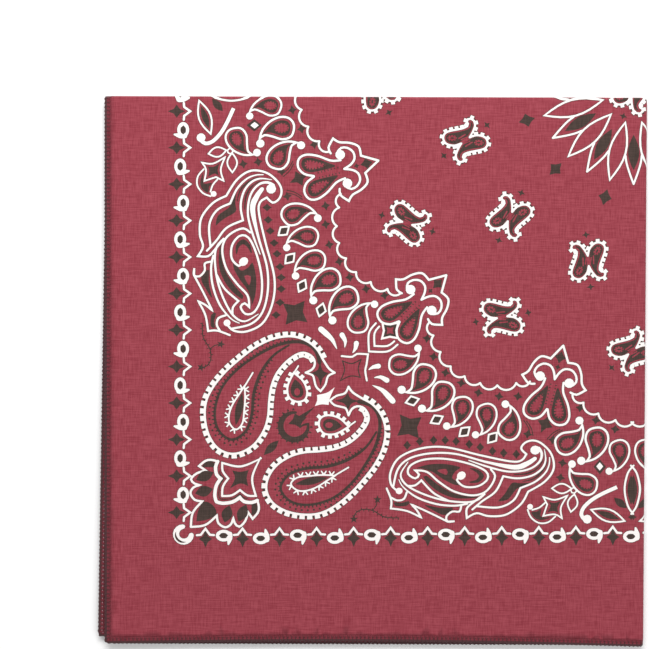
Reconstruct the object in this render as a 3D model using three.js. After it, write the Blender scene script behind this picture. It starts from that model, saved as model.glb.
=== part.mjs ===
// A square cotton bandana folded in four and lying flat: two folded sides (top and right),
// two open sides (left and bottom) where the four hemmed edges lie on each other.
// Millimetres, +Z up, +X to the right and +Y away from the open bottom edge.
// The first fold turns the upper half under, the second turns the right half under, so from the
// top the layers are: top panel, second, third, bottom panel. The outer half of the cloth is the
// top and the bottom panel, and the inner half is the second and third layer between them.
import * as THREE from 'three';

// Driving dimensions
const FOLDED_WIDTH = 278.3; // open left edge to the outside of the right fold, at the top
const FOLDED_HEIGHT = 280.5; // open bottom edge to the outside of the top fold, at the left
const CLOTH_WALL = 1.1; // the cloth with its loft, as a wall
const LAYER_GAP = 0.3; // air between two layers, and between a panel and its hem
const HEM_WIDTH = 3.6; // the narrow turned and overlocked edge
const CORNER_SHARPNESS = 0.8; // of the hem's outer corner: 0 is a quarter circle, 1 is square
const LAYERS = 4;
const RIGHT_FOLD_LEAN = 2.0; // the right fold stands this much further left at the bottom
const TOP_FOLD_LEAN = 0.9; // the top fold stands this much lower at the right
const SLOT_DEPTH = 6; // how far the gap between the two hidden layers is open from the edges
const SLOT_LIP = 0.02; // height of the sharp lip at the mouth of that gap
const LEFT_EDGES_MEET = 225; // above this height the layers' left edges lie on each other

// Worked out from those
const LAYER_PITCH = CLOTH_WALL + LAYER_GAP;
const TOP_FOLD_RADIUS = LAYER_PITCH / 2; // middle of the cloth, two layers in one fold
const RIGHT_FOLD_RADIUS = (LAYERS - 1) * LAYER_PITCH / 2; // outer half round the inner half
const MID_HEIGHT = CLOTH_WALL / 2 + RIGHT_FOLD_RADIUS;
const QUARTER_TURN = Math.PI / 2;

// How finely each piece is divided
const TOP_PANEL_STEPS = 24;
const BOTTOM_PANEL_STEPS = 8;
const HEM_STEPS = 12;
const HEM_CORNER_STEPS = 4;
const HIDDEN_SIDE_STEPS = 14;
const RIGHT_FOLD_STEPS = 4;
const TOP_FOLD_STEPS = 3;

// Each layer's open edges, as offsets from the corner of the top panel: the left edge's place at
// the bottom and where the edges meet, the bottom edge's place at the left and at the right fold,
// and how far the bottom edge bows inward between them. Layers joined by a fold meet at that fold.
// The outer half of the cloth is the top and the bottom panel.
const LAYER_EDGES = {
  top: {
    upperSide: true, outer: true,
    leftAtBottom: 0.0, leftAtTop: 0.0, bottomAtLeft: 0.0, bottomAtRight: -1.8, bow: 1.9,
  },
  second: {
    upperSide: true, outer: false,
    leftAtBottom: -3.6, leftAtTop: 0.0, bottomAtLeft: 3.3, bottomAtRight: 0.8, bow: 0.2,
  },
  third: {
    upperSide: false, outer: false,
    leftAtBottom: 1.6, leftAtTop: 0.6, bottomAtLeft: 2.2, bottomAtRight: 0.8, bow: 0.4,
  },
  bottom: {
    upperSide: false, outer: true,
    leftAtBottom: 0.9, leftAtTop: 0.6, bottomAtLeft: -0.9, bottomAtRight: -1.8, bow: 0.1,
  },
};

// Soft swells and a shallow trough in the top panel, where air is left between the layers
const SWELLS = [
  { x: 62, y: 196, length: 120, width: 46, turn: 74, height: 0.55 },
  { x: 150, y: 92, length: 130, width: 50, turn: -12, height: 0.45 },
  { x: 205, y: 210, length: 95, width: 70, turn: 38, height: 0.6 },
  { x: 238, y: 60, length: 80, width: 38, turn: 60, height: 0.4 },
  { x: 30, y: 58, length: 70, width: 34, turn: 10, height: 0.35 },
  { x: 120, y: 132, length: 150, width: 16, turn: 2, height: -0.22 },
];
const SWELL_FADE = 26; // the swells die out this far from a fold or an open edge

const lerp = (a, b, share) => a + (b - a) * share;
const radians = THREE.MathUtils.degToRad;

// Where the round of each fold begins: the last flat place before it
function rightFoldStart(y) {
  const outside = FOLDED_WIDTH - RIGHT_FOLD_LEAN * (1 - y / FOLDED_HEIGHT);
  return outside - RIGHT_FOLD_RADIUS - CLOTH_WALL / 2;
}

function topFoldStart(x) {
  const outside = FOLDED_HEIGHT - TOP_FOLD_LEAN * (x / FOLDED_WIDTH);
  return outside - TOP_FOLD_RADIUS - CLOTH_WALL / 2;
}

function leftEdge(layer, y) {
  return lerp(layer.leftAtBottom, layer.leftAtTop, Math.min(y / LEFT_EDGES_MEET, 1));
}

function bottomEdge(layer, x) {
  const share = x / FOLDED_WIDTH;
  return lerp(layer.bottomAtLeft, layer.bottomAtRight, share) + layer.bow * Math.sin(Math.PI * share);
}

// How far the top panel stands up above its lowest, flat place
function swell(x, y) {
  let height = 0;
  for (const s of SWELLS) {
    const turn = radians(s.turn);
    const along = ((x - s.x) * Math.cos(turn) + (y - s.y) * Math.sin(turn)) / s.length;
    const across = ((y - s.y) * Math.cos(turn) - (x - s.x) * Math.sin(turn)) / s.width;
    height += s.height * Math.exp(-(along * along) - across * across);
  }
  const edges = [rightFoldStart(y) - x, topFoldStart(x) - y, x - HEM_WIDTH, y - HEM_WIDTH];
  for (const distance of edges) {
    height *= THREE.MathUtils.smoothstep(distance, 0, SWELL_FADE);
  }
  return Math.max(height, 0);
}

// The middle of a layer's cloth at a flat place x, y, carried on by an angle round each fold
function clothPoint(layer, x, y, rightTurn, topTurn) {
  const side = layer.upperSide ? 1 : -1;
  const roll = TOP_FOLD_RADIUS * (1 - Math.cos(topTurn));
  const inward = layer.outer ? roll : 2 * TOP_FOLD_RADIUS - roll;
  const radius = RIGHT_FOLD_RADIUS - inward;
  const lift = layer === LAYER_EDGES.top ? swell(x, y) : 0;
  return new THREE.Vector3(
    x + radius * Math.sin(rightTurn),
    y + TOP_FOLD_RADIUS * Math.sin(topTurn),
    MID_HEIGHT + side * radius * Math.cos(rightTurn) + lift,
  );
}

// A point of a layer's wall in a fold, held half a gap clear of the layer that it is folded onto
function heldApart(layer, point, rightTurn, topTurn) {
  const side = layer.upperSide ? 1 : -1;
  let height = (point.z - MID_HEIGHT) * side;
  if (topTurn > 0) {
    const foldHeight = LAYER_PITCH * Math.cos(rightTurn);
    const clear = LAYER_GAP / 2;
    height = layer.outer ? Math.max(height, foldHeight + clear) : Math.min(height, foldHeight - clear);
  }
  height = Math.max(height, LAYER_GAP / 2);
  return point.setZ(MID_HEIGHT + side * height);
}

// Stations along one direction: shares of the flat stretch, then angles round the fold
function stations(flatSteps, turnSteps, lastTurn) {
  const list = [];
  for (let i = 0; i <= flatSteps; i++) {
    list.push({ share: i / flatSteps, turn: 0 });
  }
  for (let i = 1; i <= turnSteps; i++) {
    list.push({ share: 1, turn: lastTurn * i / turnSteps });
  }
  return list;
}

// The angle at which a layer's round ends, half a gap short of the layer that takes it on
const lastTopTurn = QUARTER_TURN - LAYER_GAP / 2 / TOP_FOLD_RADIUS;
const lastRightTurn = (layer) =>
  QUARTER_TURN - LAYER_GAP / 2 / (layer.outer ? RIGHT_FOLD_RADIUS : TOP_FOLD_RADIUS);

function geometryFrom(points, triangles) {
  const geometry = new THREE.BufferGeometry();
  const numbers = points.flatMap((point) => point.toArray());
  geometry.setAttribute('position', new THREE.Float32BufferAttribute(numbers, 3));
  geometry.setIndex(triangles.flat());
  geometry.computeVertexNormals();
  return geometry;
}

// A quad between four points, as two triangles, turned over if flipped
function quad(a, b, c, d, flipped = false) {
  return flipped ? [[a, c, b], [a, d, c]] : [[a, b, c], [a, c, d]];
}

// A cloth wall: a grid of middle points with the wall's two faces half a thickness to each side.
// The face on the side away from the layers between is the outer one.
function panelGeometry(layer, flatSteps) {
  const across = stations(flatSteps, RIGHT_FOLD_STEPS, lastRightTurn(layer));
  const along = stations(flatSteps, TOP_FOLD_STEPS, lastTopTurn);
  const border = HEM_WIDTH + LAYER_GAP;
  const middle = (i, j) => {
    const xGuess = lerp(border, rightFoldStart(0), across[i].share);
    const yGuess = lerp(border, topFoldStart(0), along[j].share);
    const y = lerp(bottomEdge(layer, xGuess) + border, topFoldStart(xGuess), along[j].share);
    const x = lerp(leftEdge(layer, yGuess) + border, rightFoldStart(yGuess), across[i].share);
    return { x, y, rightTurn: across[i].turn, topTurn: along[j].turn };
  };
  const pointAt = (m, dRight, dTop) => clothPoint(
    layer,
    m.x + (m.rightTurn > 0 ? 0 : dRight),
    m.y + (m.topTurn > 0 ? 0 : dTop),
    m.rightTurn + (m.rightTurn > 0 ? dRight : 0),
    m.topTurn + (m.topTurn > 0 ? dTop : 0),
  );
  const step = 1e-3;
  const outward = (m) => {
    const alongX = pointAt(m, step, 0).sub(pointAt(m, -step, 0));
    const alongY = pointAt(m, 0, step).sub(pointAt(m, 0, -step));
    const normal = alongX.cross(alongY).normalize();
    return layer.upperSide ? normal : normal.negate();
  };
  const points = [];
  for (const half of [CLOTH_WALL / 2, -CLOTH_WALL / 2]) {
    for (let j = 0; j < along.length; j++) {
      for (let i = 0; i < across.length; i++) {
        const m = middle(i, j);
        const point = clothPoint(layer, m.x, m.y, m.rightTurn, m.topTurn).addScaledVector(outward(m), half);
        points.push(heldApart(layer, point, m.rightTurn, m.topTurn));
      }
    }
  }
  const columns = across.length;
  const rows = along.length;
  const face = (i, j) => j * columns + i;
  const back = (i, j) => columns * rows + face(i, j);
  const flipped = !layer.upperSide;
  const triangles = [];
  for (let j = 0; j + 1 < rows; j++) {
    for (let i = 0; i + 1 < columns; i++) {
      for (const [side, turned] of [[face, flipped], [back, !flipped]]) {
        triangles.push(...quad(side(i, j), side(i + 1, j), side(i + 1, j + 1), side(i, j + 1), turned));
      }
    }
  }
  // A strip of wall along an edge of the grid, from one grid place to the next
  const edgeStrip = (i0, j0, i1, j1, turned) => {
    triangles.push(...quad(face(i0, j0), back(i0, j0), back(i1, j1), face(i1, j1), turned));
  };
  for (let i = 0; i + 1 < columns; i++) {
    edgeStrip(i, 0, i + 1, 0, flipped);
    edgeStrip(i, rows - 1, i + 1, rows - 1, !flipped);
  }
  for (let j = 0; j + 1 < rows; j++) {
    edgeStrip(0, j, 0, j + 1, !flipped);
    edgeStrip(columns - 1, j, columns - 1, j + 1, flipped);
  }
  return geometryFrom(points, triangles);
}

// The section of a hem: places across its width, from the open edge inward, and heights off the
// middle of the cloth, as shares of the hem's width and of half its thickness
const HEM_SECTION = [
  { across: 0.0, off: 0.0 }, { across: 0.08, off: 0.72 }, { across: 0.28, off: 1.0 },
  { across: 0.72, off: 1.0 }, { across: 0.93, off: 0.72 }, { across: 1.0, off: 0.0 },
  { across: 0.93, off: -0.72 }, { across: 0.72, off: -1.0 }, { across: 0.28, off: -1.0 },
  { across: 0.08, off: -0.72 },
];

// The hem of one layer: down its left edge, round the corner and along its bottom edge, and on
// round each fold until the next layer's hem takes over
function hemGeometry(layer) {
  const places = []; // each gives a section point's flat place from its distance to the open edge
  for (const s of stations(HEM_STEPS, TOP_FOLD_STEPS, lastTopTurn).slice(1).reverse()) {
    places.push((inward) => {
      const y = lerp(bottomEdge(layer, 0) + HEM_WIDTH, topFoldStart(0), s.share);
      return { x: leftEdge(layer, y) + inward, y, rightTurn: 0, topTurn: s.turn };
    });
  }
  for (let i = 0; i <= HEM_CORNER_STEPS; i++) {
    const angle = QUARTER_TURN * i / HEM_CORNER_STEPS;
    const squareness = Math.max(Math.cos(angle), Math.sin(angle)) ** -CORNER_SHARPNESS;
    places.push((inward) => {
      const reach = (HEM_WIDTH - inward) * squareness;
      const x = leftEdge(layer, 0) + HEM_WIDTH - reach * Math.cos(angle);
      const y = bottomEdge(layer, 0) + HEM_WIDTH - reach * Math.sin(angle);
      return { x, y, rightTurn: 0, topTurn: 0 };
    });
  }
  for (const s of stations(HEM_STEPS, RIGHT_FOLD_STEPS, lastRightTurn(layer)).slice(1)) {
    places.push((inward) => {
      const x = lerp(leftEdge(layer, 0) + HEM_WIDTH, rightFoldStart(0), s.share);
      return { x, y: bottomEdge(layer, x) + inward, rightTurn: s.turn, topTurn: 0 };
    });
  }
  const points = [];
  for (const place of places) {
    for (const { across, off } of HEM_SECTION) {
      const p = place(across * HEM_WIDTH);
      const middle = clothPoint(layer, p.x, p.y, p.rightTurn, p.topTurn);
      const side = layer.upperSide ? 1 : -1;
      const up = new THREE.Vector3(
        Math.sin(p.rightTurn),
        (layer.outer ? 1 : -1) * Math.sin(p.topTurn),
        side * Math.cos(p.rightTurn) * Math.cos(p.topTurn),
      );
      const point = middle.addScaledVector(up, off * CLOTH_WALL / 2);
      points.push(heldApart(layer, point, p.rightTurn, p.topTurn));
    }
  }
  const ring = HEM_SECTION.length;
  const flipped = !layer.upperSide;
  const triangles = [];
  for (let k = 0; k + 1 < places.length; k++) {
    for (let i = 0; i < ring; i++) {
      const next = (i + 1) % ring;
      const here = k * ring;
      const beyond = here + ring;
      triangles.push(...quad(here + i, beyond + i, beyond + next, here + next, flipped));
    }
  }
  const last = (places.length - 1) * ring;
  for (let i = 1; i + 1 < ring; i++) {
    triangles.push(flipped ? [0, i + 1, i] : [0, i, i + 1]);
    triangles.push(flipped ? [last, last + i, last + i + 1] : [last, last + i + 1, last + i]);
  }
  return geometryFrom(points, triangles);
}

// The two layers between the panels, as one rounded solid built from rings. Each ring is named
// for its layer, or is the open slot between the layers, and stands at a height off the middle.
function hiddenGeometry() {
  const { second, third } = LAYER_EDGES;
  const roundRadius = TOP_FOLD_RADIUS + CLOTH_WALL / 2;
  const slotHalf = LAYER_GAP / 2;
  const levels = [
    { layer: second, height: roundRadius },
    { layer: second, height: roundRadius * 0.8 },
    { layer: second, height: roundRadius * 0.5 },
    { layer: second, height: slotHalf + SLOT_LIP },
    { layer: second, height: slotHalf, slot: SLOT_DEPTH },
    { layer: third, height: -slotHalf, slot: SLOT_DEPTH },
    { layer: third, height: -slotHalf - SLOT_LIP },
    { layer: third, height: -roundRadius * 0.5 },
    { layer: third, height: -roundRadius * 0.8 },
    { layer: third, height: -roundRadius },
  ];
  const border = HEM_WIDTH + LAYER_GAP;
  // The right side is one half round; the top side is two quarter rounds with a crease between
  const rightOut = (height) => Math.sqrt(Math.max(roundRadius ** 2 - height ** 2, 0));
  const topOut = (height) => {
    const fromFoldMiddle = LAYER_PITCH - Math.abs(height);
    return Math.sqrt(Math.max(roundRadius ** 2 - fromFoldMiddle ** 2, 0)) - LAYER_GAP;
  };
  const points = [];
  for (const { layer, height, slot = 0 } of levels) {
    const left = (y) => leftEdge(layer, y) + border + slot;
    const bottom = (x) => bottomEdge(layer, x) + border + slot;
    const right = (y) => rightFoldStart(y) + rightOut(height);
    const top = (x) => topFoldStart(x) + topOut(height);
    const corners = {
      lowLeft: [left(0), bottom(0)],
      lowRight: [right(0), bottom(FOLDED_WIDTH)],
      highRight: [right(FOLDED_HEIGHT), top(FOLDED_WIDTH)],
      highLeft: [left(FOLDED_HEIGHT), top(0)],
    };
    for (let i = 0; i < HIDDEN_SIDE_STEPS; i++) {
      const x = lerp(corners.lowLeft[0], corners.lowRight[0], i / HIDDEN_SIDE_STEPS);
      points.push(new THREE.Vector3(x, bottom(x), MID_HEIGHT + height));
    }
    for (let i = 0; i < HIDDEN_SIDE_STEPS; i++) {
      const y = lerp(corners.lowRight[1], corners.highRight[1], i / HIDDEN_SIDE_STEPS);
      points.push(new THREE.Vector3(right(y), y, MID_HEIGHT + height));
    }
    for (let i = 0; i < HIDDEN_SIDE_STEPS; i++) {
      const x = lerp(corners.highRight[0], corners.highLeft[0], i / HIDDEN_SIDE_STEPS);
      points.push(new THREE.Vector3(x, top(x), MID_HEIGHT + height));
    }
    for (let i = 0; i < HIDDEN_SIDE_STEPS; i++) {
      const y = lerp(corners.highLeft[1], corners.lowLeft[1], i / HIDDEN_SIDE_STEPS);
      points.push(new THREE.Vector3(left(y), y, MID_HEIGHT + height));
    }
  }
  const ring = 4 * HIDDEN_SIDE_STEPS;
  const triangles = [];
  for (let k = 0; k + 1 < levels.length; k++) {
    for (let i = 0; i < ring; i++) {
      const next = (i + 1) % ring;
      triangles.push(...quad(k * ring + i, (k + 1) * ring + i, (k + 1) * ring + next, k * ring + next));
    }
  }
  const centre = (height) => new THREE.Vector3(FOLDED_WIDTH / 2, FOLDED_HEIGHT / 2, MID_HEIGHT + height);
  const topCentre = points.push(centre(roundRadius)) - 1;
  const underCentre = points.push(centre(-roundRadius)) - 1;
  const lastRing = (levels.length - 1) * ring;
  for (let i = 0; i < ring; i++) {
    const next = (i + 1) % ring;
    triangles.push([topCentre, i, next]);
    triangles.push([underCentre, lastRing + next, lastRing + i]);
  }
  return geometryFrom(points, triangles);
}

const printedCotton = new THREE.MeshStandardMaterial({ color: 0x9e4350, roughness: 0.9, metalness: 0 });
const hemThread = new THREE.MeshStandardMaterial({ color: 0x5a1f2a, roughness: 0.85, metalness: 0 });

function named(name, geometry, material) {
  const mesh = new THREE.Mesh(geometry, material);
  mesh.name = name;
  return mesh;
}

const cloth = new THREE.Group();
cloth.add(
  named('top_panel', panelGeometry(LAYER_EDGES.top, TOP_PANEL_STEPS), printedCotton),
  named('hidden_layers', hiddenGeometry(), printedCotton),
  named('bottom_panel', panelGeometry(LAYER_EDGES.bottom, BOTTOM_PANEL_STEPS), printedCotton),
  named('top_hem', hemGeometry(LAYER_EDGES.top), hemThread),
  named('second_hem', hemGeometry(LAYER_EDGES.second), hemThread),
  named('third_hem', hemGeometry(LAYER_EDGES.third), hemThread),
  named('bottom_hem', hemGeometry(LAYER_EDGES.bottom), hemThread),
);

// The origin is under the middle of the folded square, on the surface that it lies on
const extent = new THREE.Box3().setFromObject(cloth);
cloth.position.set(-(extent.min.x + extent.max.x) / 2, -(extent.min.y + extent.max.y) / 2, -extent.min.z);

const bandana = new THREE.Group();
bandana.add(cloth);

export default bandana;
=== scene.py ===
# A square cotton bandana folded in four and lying flat, with a discharge-printed paisley border.
# Sizes are in millimetres. Meshes turn them to metres, the frame's unit.
import cmath
import math
import random

import bpy
import numpy as np
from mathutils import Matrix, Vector
from mathutils.geometry import delaunay_2d_cdt


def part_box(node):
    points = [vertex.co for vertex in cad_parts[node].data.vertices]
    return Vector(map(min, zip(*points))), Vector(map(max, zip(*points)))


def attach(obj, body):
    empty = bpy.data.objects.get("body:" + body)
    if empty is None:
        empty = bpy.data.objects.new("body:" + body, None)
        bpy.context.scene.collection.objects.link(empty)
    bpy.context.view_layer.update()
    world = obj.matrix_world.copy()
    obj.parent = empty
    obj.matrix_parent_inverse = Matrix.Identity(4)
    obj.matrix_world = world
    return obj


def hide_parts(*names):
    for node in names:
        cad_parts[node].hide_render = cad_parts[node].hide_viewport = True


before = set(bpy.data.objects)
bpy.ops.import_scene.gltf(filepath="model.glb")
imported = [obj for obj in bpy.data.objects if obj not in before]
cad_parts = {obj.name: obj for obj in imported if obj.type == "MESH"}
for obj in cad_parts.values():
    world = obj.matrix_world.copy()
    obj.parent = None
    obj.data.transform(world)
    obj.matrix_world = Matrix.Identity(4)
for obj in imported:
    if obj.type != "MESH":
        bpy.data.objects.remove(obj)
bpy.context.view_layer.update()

MM = 0.001

# The folded cloth, with the same driving sizes as the solids
FOLDED_WIDTH = 278.3
FOLDED_HEIGHT = 280.5
CLOTH_WALL = 1.1
LAYER_GAP = 0.3
LAYER_PITCH = CLOTH_WALL + LAYER_GAP
HEM_WIDTH = 3.6
CORNER_SHARPNESS = 0.8
RIGHT_FOLD_LEAN = 2.0
TOP_FOLD_LEAN = 0.9
LEFT_EDGES_MEET = 225
TOP_FOLD_RADIUS = LAYER_PITCH / 2
RIGHT_FOLD_RADIUS = 1.5 * LAYER_PITCH
MID_HEIGHT = CLOTH_WALL / 2 + RIGHT_FOLD_RADIUS
QUARTER_TURN = math.pi / 2
SHELL = 0.5  # the woven sheet itself, with its fuzz
TUCK = 0.3  # how far a sheet runs in under its hem

# The camera looks straight down, as the photograph does
VIEW_WIDTH = 332.3
VIEW_CENTRE = (-24.7, 24.0)
LENS = 85
SENSOR = 36


def make_camera():
    data = bpy.data.cameras.new("camera")
    data.lens = LENS
    data.sensor_width = SENSOR
    camera = bpy.data.objects.new("camera", data)
    height = 2 * MID_HEIGHT + VIEW_WIDTH * LENS / SENSOR
    camera.location = (VIEW_CENTRE[0] * MM, VIEW_CENTRE[1] * MM, height * MM)
    bpy.context.scene.collection.objects.link(camera)
    bpy.context.scene.camera = camera


make_camera()


# Each layer's open edges, measured from the corner of the top panel
class Layer:
    def __init__(self, upper, outer, left_at_bottom, left_at_top, bottom_at_left, bottom_at_right, bow):
        self.side = 1 if upper else -1
        self.outer = outer
        self.left_at_bottom = left_at_bottom
        self.left_at_top = left_at_top
        self.bottom_at_left = bottom_at_left
        self.bottom_at_right = bottom_at_right
        self.bow = bow
        self.right_radius = RIGHT_FOLD_RADIUS if outer else TOP_FOLD_RADIUS

    def left(self, y):
        share = np.minimum(y / LEFT_EDGES_MEET, 1)
        return self.left_at_bottom + (self.left_at_top - self.left_at_bottom) * share

    def bottom(self, x):
        share = x / FOLDED_WIDTH
        straight = self.bottom_at_left + (self.bottom_at_right - self.bottom_at_left) * share
        return straight + self.bow * np.sin(math.pi * share)


TOP = Layer(True, True, 0.0, 0.0, 0.0, -1.8, 1.9)
SECOND = Layer(True, False, -3.6, 0.0, 3.3, 0.8, 0.2)
THIRD = Layer(False, False, 1.6, 0.6, 2.2, 0.8, 0.4)
BOTTOM = Layer(False, True, 0.9, 0.6, -0.9, -1.8, 0.1)


def right_fold_start(y):
    outside = FOLDED_WIDTH - RIGHT_FOLD_LEAN * (1 - y / FOLDED_HEIGHT)
    return outside - RIGHT_FOLD_RADIUS - CLOTH_WALL / 2


def top_fold_start(x):
    outside = FOLDED_HEIGHT - TOP_FOLD_LEAN * (x / FOLDED_WIDTH)
    return outside - TOP_FOLD_RADIUS - CLOTH_WALL / 2


# From the corner of the top panel to the frame's origin
panel_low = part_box("top_panel")[0] / MM
panel_bottom = TOP.bottom(right_fold_start(0)) + HEM_WIDTH + LAYER_GAP
ORIGIN = (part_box("top_hem")[0].x / MM, panel_low.y - panel_bottom)


# Soft swells of the top panel, as in its solid: place, length, width, turn and height
SWELLS = [
    (62, 196, 120, 46, 74, 0.55),
    (150, 92, 130, 50, -12, 0.45),
    (205, 210, 95, 70, 38, 0.6),
    (238, 60, 80, 38, 60, 0.4),
    (30, 58, 70, 34, 10, 0.35),
    (120, 132, 150, 16, 2, -0.22),
]
SWELL_FADE = 26

# Creases pressed in by folding and handling: ends, width of the soft shoulder, and depth.
# A minus depth is a trough. Each wanders a little and dies out towards its ends.
TOP_CREASES = [
    (12, 139, 262, 143, 5.0, -0.16),
    (139, 20, 136, 268, 4.6, 0.14),
    (18, 92, 96, 76, 6.0, -0.12),
    (186, 30, 258, 66, 7.0, 0.12),
    (42, 238, 120, 262, 6.5, -0.10),
    (206, 186, 264, 236, 6.0, 0.14),
    (170, 168, 210, 150, 5.0, -0.10),
    (84, 176, 112, 214, 5.5, 0.11),
    (10, 273.4, 268, 272.6, 4.0, 0.24),
]
UNDER_CREASES = [
    (14, 141, 268, 138, 5.0, -0.18),
    (140, 24, 142, 262, 5.0, -0.16),
    (36, 60, 110, 96, 7.0, -0.14),
    (180, 220, 250, 188, 6.0, -0.15),
    (70, 232, 128, 206, 5.5, -0.12),
    (200, 44, 226, 112, 6.0, -0.13),
]


def smooth(value, low, high):
    share = np.clip((value - low) / (high - low), 0, 1)
    return share * share * (3 - 2 * share)


def swell(x, y):
    height = 0
    for at_x, at_y, length, width, turn, rise in SWELLS:
        cos, sin = math.cos(math.radians(turn)), math.sin(math.radians(turn))
        along = ((x - at_x) * cos + (y - at_y) * sin) / length
        across = ((y - at_y) * cos - (x - at_x) * sin) / width
        height = height + rise * np.exp(-along * along - across * across)
    for distance in (right_fold_start(y) - x, top_fold_start(x) - y, x - HEM_WIDTH, y - HEM_WIDTH):
        height = height * smooth(distance, 0, SWELL_FADE)
    return np.maximum(height, 0)


def creased(creases, x, y):
    height = 0
    for x0, y0, x1, y1, width, depth in creases:
        length = math.hypot(x1 - x0, y1 - y0)
        run_x, run_y = (x1 - x0) / length, (y1 - y0) / length
        along = (x - x0) * run_x + (y - y0) * run_y
        across = (y - y0) * run_x - (x - x0) * run_y
        across = across + 1.6 * np.sin(along / 17 + x0) + 0.7 * np.sin(along / 6.1 + y0)
        strength = 0.75 + 0.25 * np.sin(along / 23 + y1)
        ends = smooth(along, 0, 0.3 * length) * smooth(length - along, 0, 0.3 * length)
        height = height + depth * strength * ends * np.exp(-((across / width) ** 2))
    for distance in (right_fold_start(y) - x, top_fold_start(x) - y, x - HEM_WIDTH, y - HEM_WIDTH):
        height = height * smooth(distance, 0, 8)
    return height


def folded(layer, x, y, right_turn, top_turn, off):
    """Points of a layer at a flat place and the angles past each fold, off mm outward of its middle."""
    side = layer.side
    facing = 1 if layer.outer else -1
    roll = TOP_FOLD_RADIUS * (1 - np.cos(top_turn))
    radius = RIGHT_FOLD_RADIUS - roll if layer.outer else TOP_FOLD_RADIUS + roll
    out_x = facing * np.cos(top_turn) * np.sin(right_turn)
    out_y = np.sin(top_turn)
    out_z = facing * side * np.cos(top_turn) * np.cos(right_turn)
    at_x = x + radius * np.sin(right_turn) + off * out_x
    at_y = y + TOP_FOLD_RADIUS * np.sin(top_turn) + off * out_y
    height = side * (side * radius * np.cos(right_turn) + off * out_z)
    if layer is TOP:
        height = height + swell(x, y) + creased(TOP_CREASES, x, y)
    if layer is BOTTOM:
        height = height + creased(UNDER_CREASES, x, y)
    # Where two layers share a fold they stop at the fold's own height
    fold_height = LAYER_PITCH * np.cos(right_turn)
    held = np.maximum(height, fold_height) if layer.outer else np.minimum(height, fold_height)
    height = np.maximum(np.where(top_turn > 0, held, height), 0)
    z = MID_HEIGHT + side * height
    return np.stack([at_x + ORIGIN[0], at_y + ORIGIN[1], z], axis=-1) * MM


def cloth_points(layer, s, t, off):
    """Points of a layer's sheet. s and t run along the cloth from its corner, on round the folds."""
    x = np.minimum(s, right_fold_start(np.minimum(t, top_fold_start(s))))
    y = np.minimum(t, top_fold_start(x))
    right_turn = (s - x) / layer.right_radius
    top_turn = (t - y) / TOP_FOLD_RADIUS
    return folded(layer, x, y, right_turn, top_turn, off)


# Materials
def linear(hex_colour):
    """An sRGB hex colour as linear light, with alpha."""
    parts = [int(hex_colour[i : i + 2], 16) / 255 for i in (1, 3, 5)]
    return [c / 12.92 if c <= 0.04045 else ((c + 0.055) / 1.055) ** 2.4 for c in parts] + [1]


def add_node(tree, kind, inputs=None, **settings):
    """Adds a node with its settings. An input is a value, or a pair of another node and its output."""
    node = tree.nodes.new(kind)
    for name, value in settings.items():
        setattr(node, name, value)
    for name, value in (inputs or {}).items():
        if isinstance(value, tuple) and isinstance(value[0], bpy.types.Node):
            tree.links.new(value[0].outputs[value[1]], node.inputs[name])
        else:
            node.inputs[name].default_value = value
    return node


def new_material(name):
    material = bpy.data.materials.new(name)
    material.use_nodes = True
    material.node_tree.nodes.clear()
    return material


def woven_cotton(name, colour, slub_colour, roughness=0.9, slub_share=0.5):
    """Plain-woven cotton sheeting: matt, softly fuzzy, with thick and thin yarns running both ways.
    Real threads lie 0.33 mm apart, finer than a pixel, so the weave is drawn at 1.1 mm."""
    material = new_material(name)
    tree = material.node_tree
    flat = add_node(tree, "ShaderNodeUVMap", uv_map="cloth")
    warp = add_node(tree, "ShaderNodeMapping", {"Vector": (flat, "UV"), "Scale": (1.9, 0.13, 1)})
    weft = add_node(tree, "ShaderNodeMapping", {"Vector": (flat, "UV"), "Scale": (0.11, 1.7, 1)})
    settings = {"Scale": 1.0, "Detail": 2.0, "Roughness": 0.6}
    warp_slubs = add_node(tree, "ShaderNodeTexNoise", {"Vector": (warp, "Vector"), **settings})
    weft_slubs = add_node(tree, "ShaderNodeTexNoise", {"Vector": (weft, "Vector"), **settings})
    both = add_node(
        tree, "ShaderNodeMath",
        {0: (warp_slubs, "Fac"), 1: (weft_slubs, "Fac")}, operation="ADD",
    )
    threads_x = add_node(
        tree, "ShaderNodeTexWave", {"Vector": (flat, "UV"), "Scale": 0.286, "Distortion": 0.6},
        bands_direction="X",
    )
    threads_y = add_node(
        tree, "ShaderNodeTexWave", {"Vector": (flat, "UV"), "Scale": 0.286, "Distortion": 0.6},
        bands_direction="Y",
    )
    weave = add_node(
        tree, "ShaderNodeMath", {0: (threads_x, "Fac"), 1: (threads_y, "Fac")}, operation="MULTIPLY",
    )
    tone = add_node(
        tree, "ShaderNodeMapRange",
        {"Value": (both, "Value"), "From Min": 0.8, "From Max": 1.2, "To Min": 0.0, "To Max": slub_share},
    )
    thread_colour = add_node(
        tree, "ShaderNodeMix",
        {"Factor": (tone, "Result"), 6: linear(colour), 7: linear(slub_colour)}, data_type="RGBA",
    )
    relief = add_node(
        tree, "ShaderNodeMath", {0: (both, "Value"), 1: (weave, "Value")}, operation="ADD",
    )
    bump = add_node(
        tree, "ShaderNodeBump", {"Height": (relief, "Value"), "Strength": 0.35, "Distance": 0.00012},
    )
    surface = add_node(
        tree, "ShaderNodeBsdfPrincipled",
        {
            "Base Color": (thread_colour, 2), "Roughness": roughness, "Normal": (bump, "Normal"),
            "Specular IOR Level": 0.15, "Sheen Weight": 0.03, "Sheen Roughness": 0.6,
        },
    )
    add_node(tree, "ShaderNodeOutputMaterial", {"Surface": (surface, "BSDF")})
    return material


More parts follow.
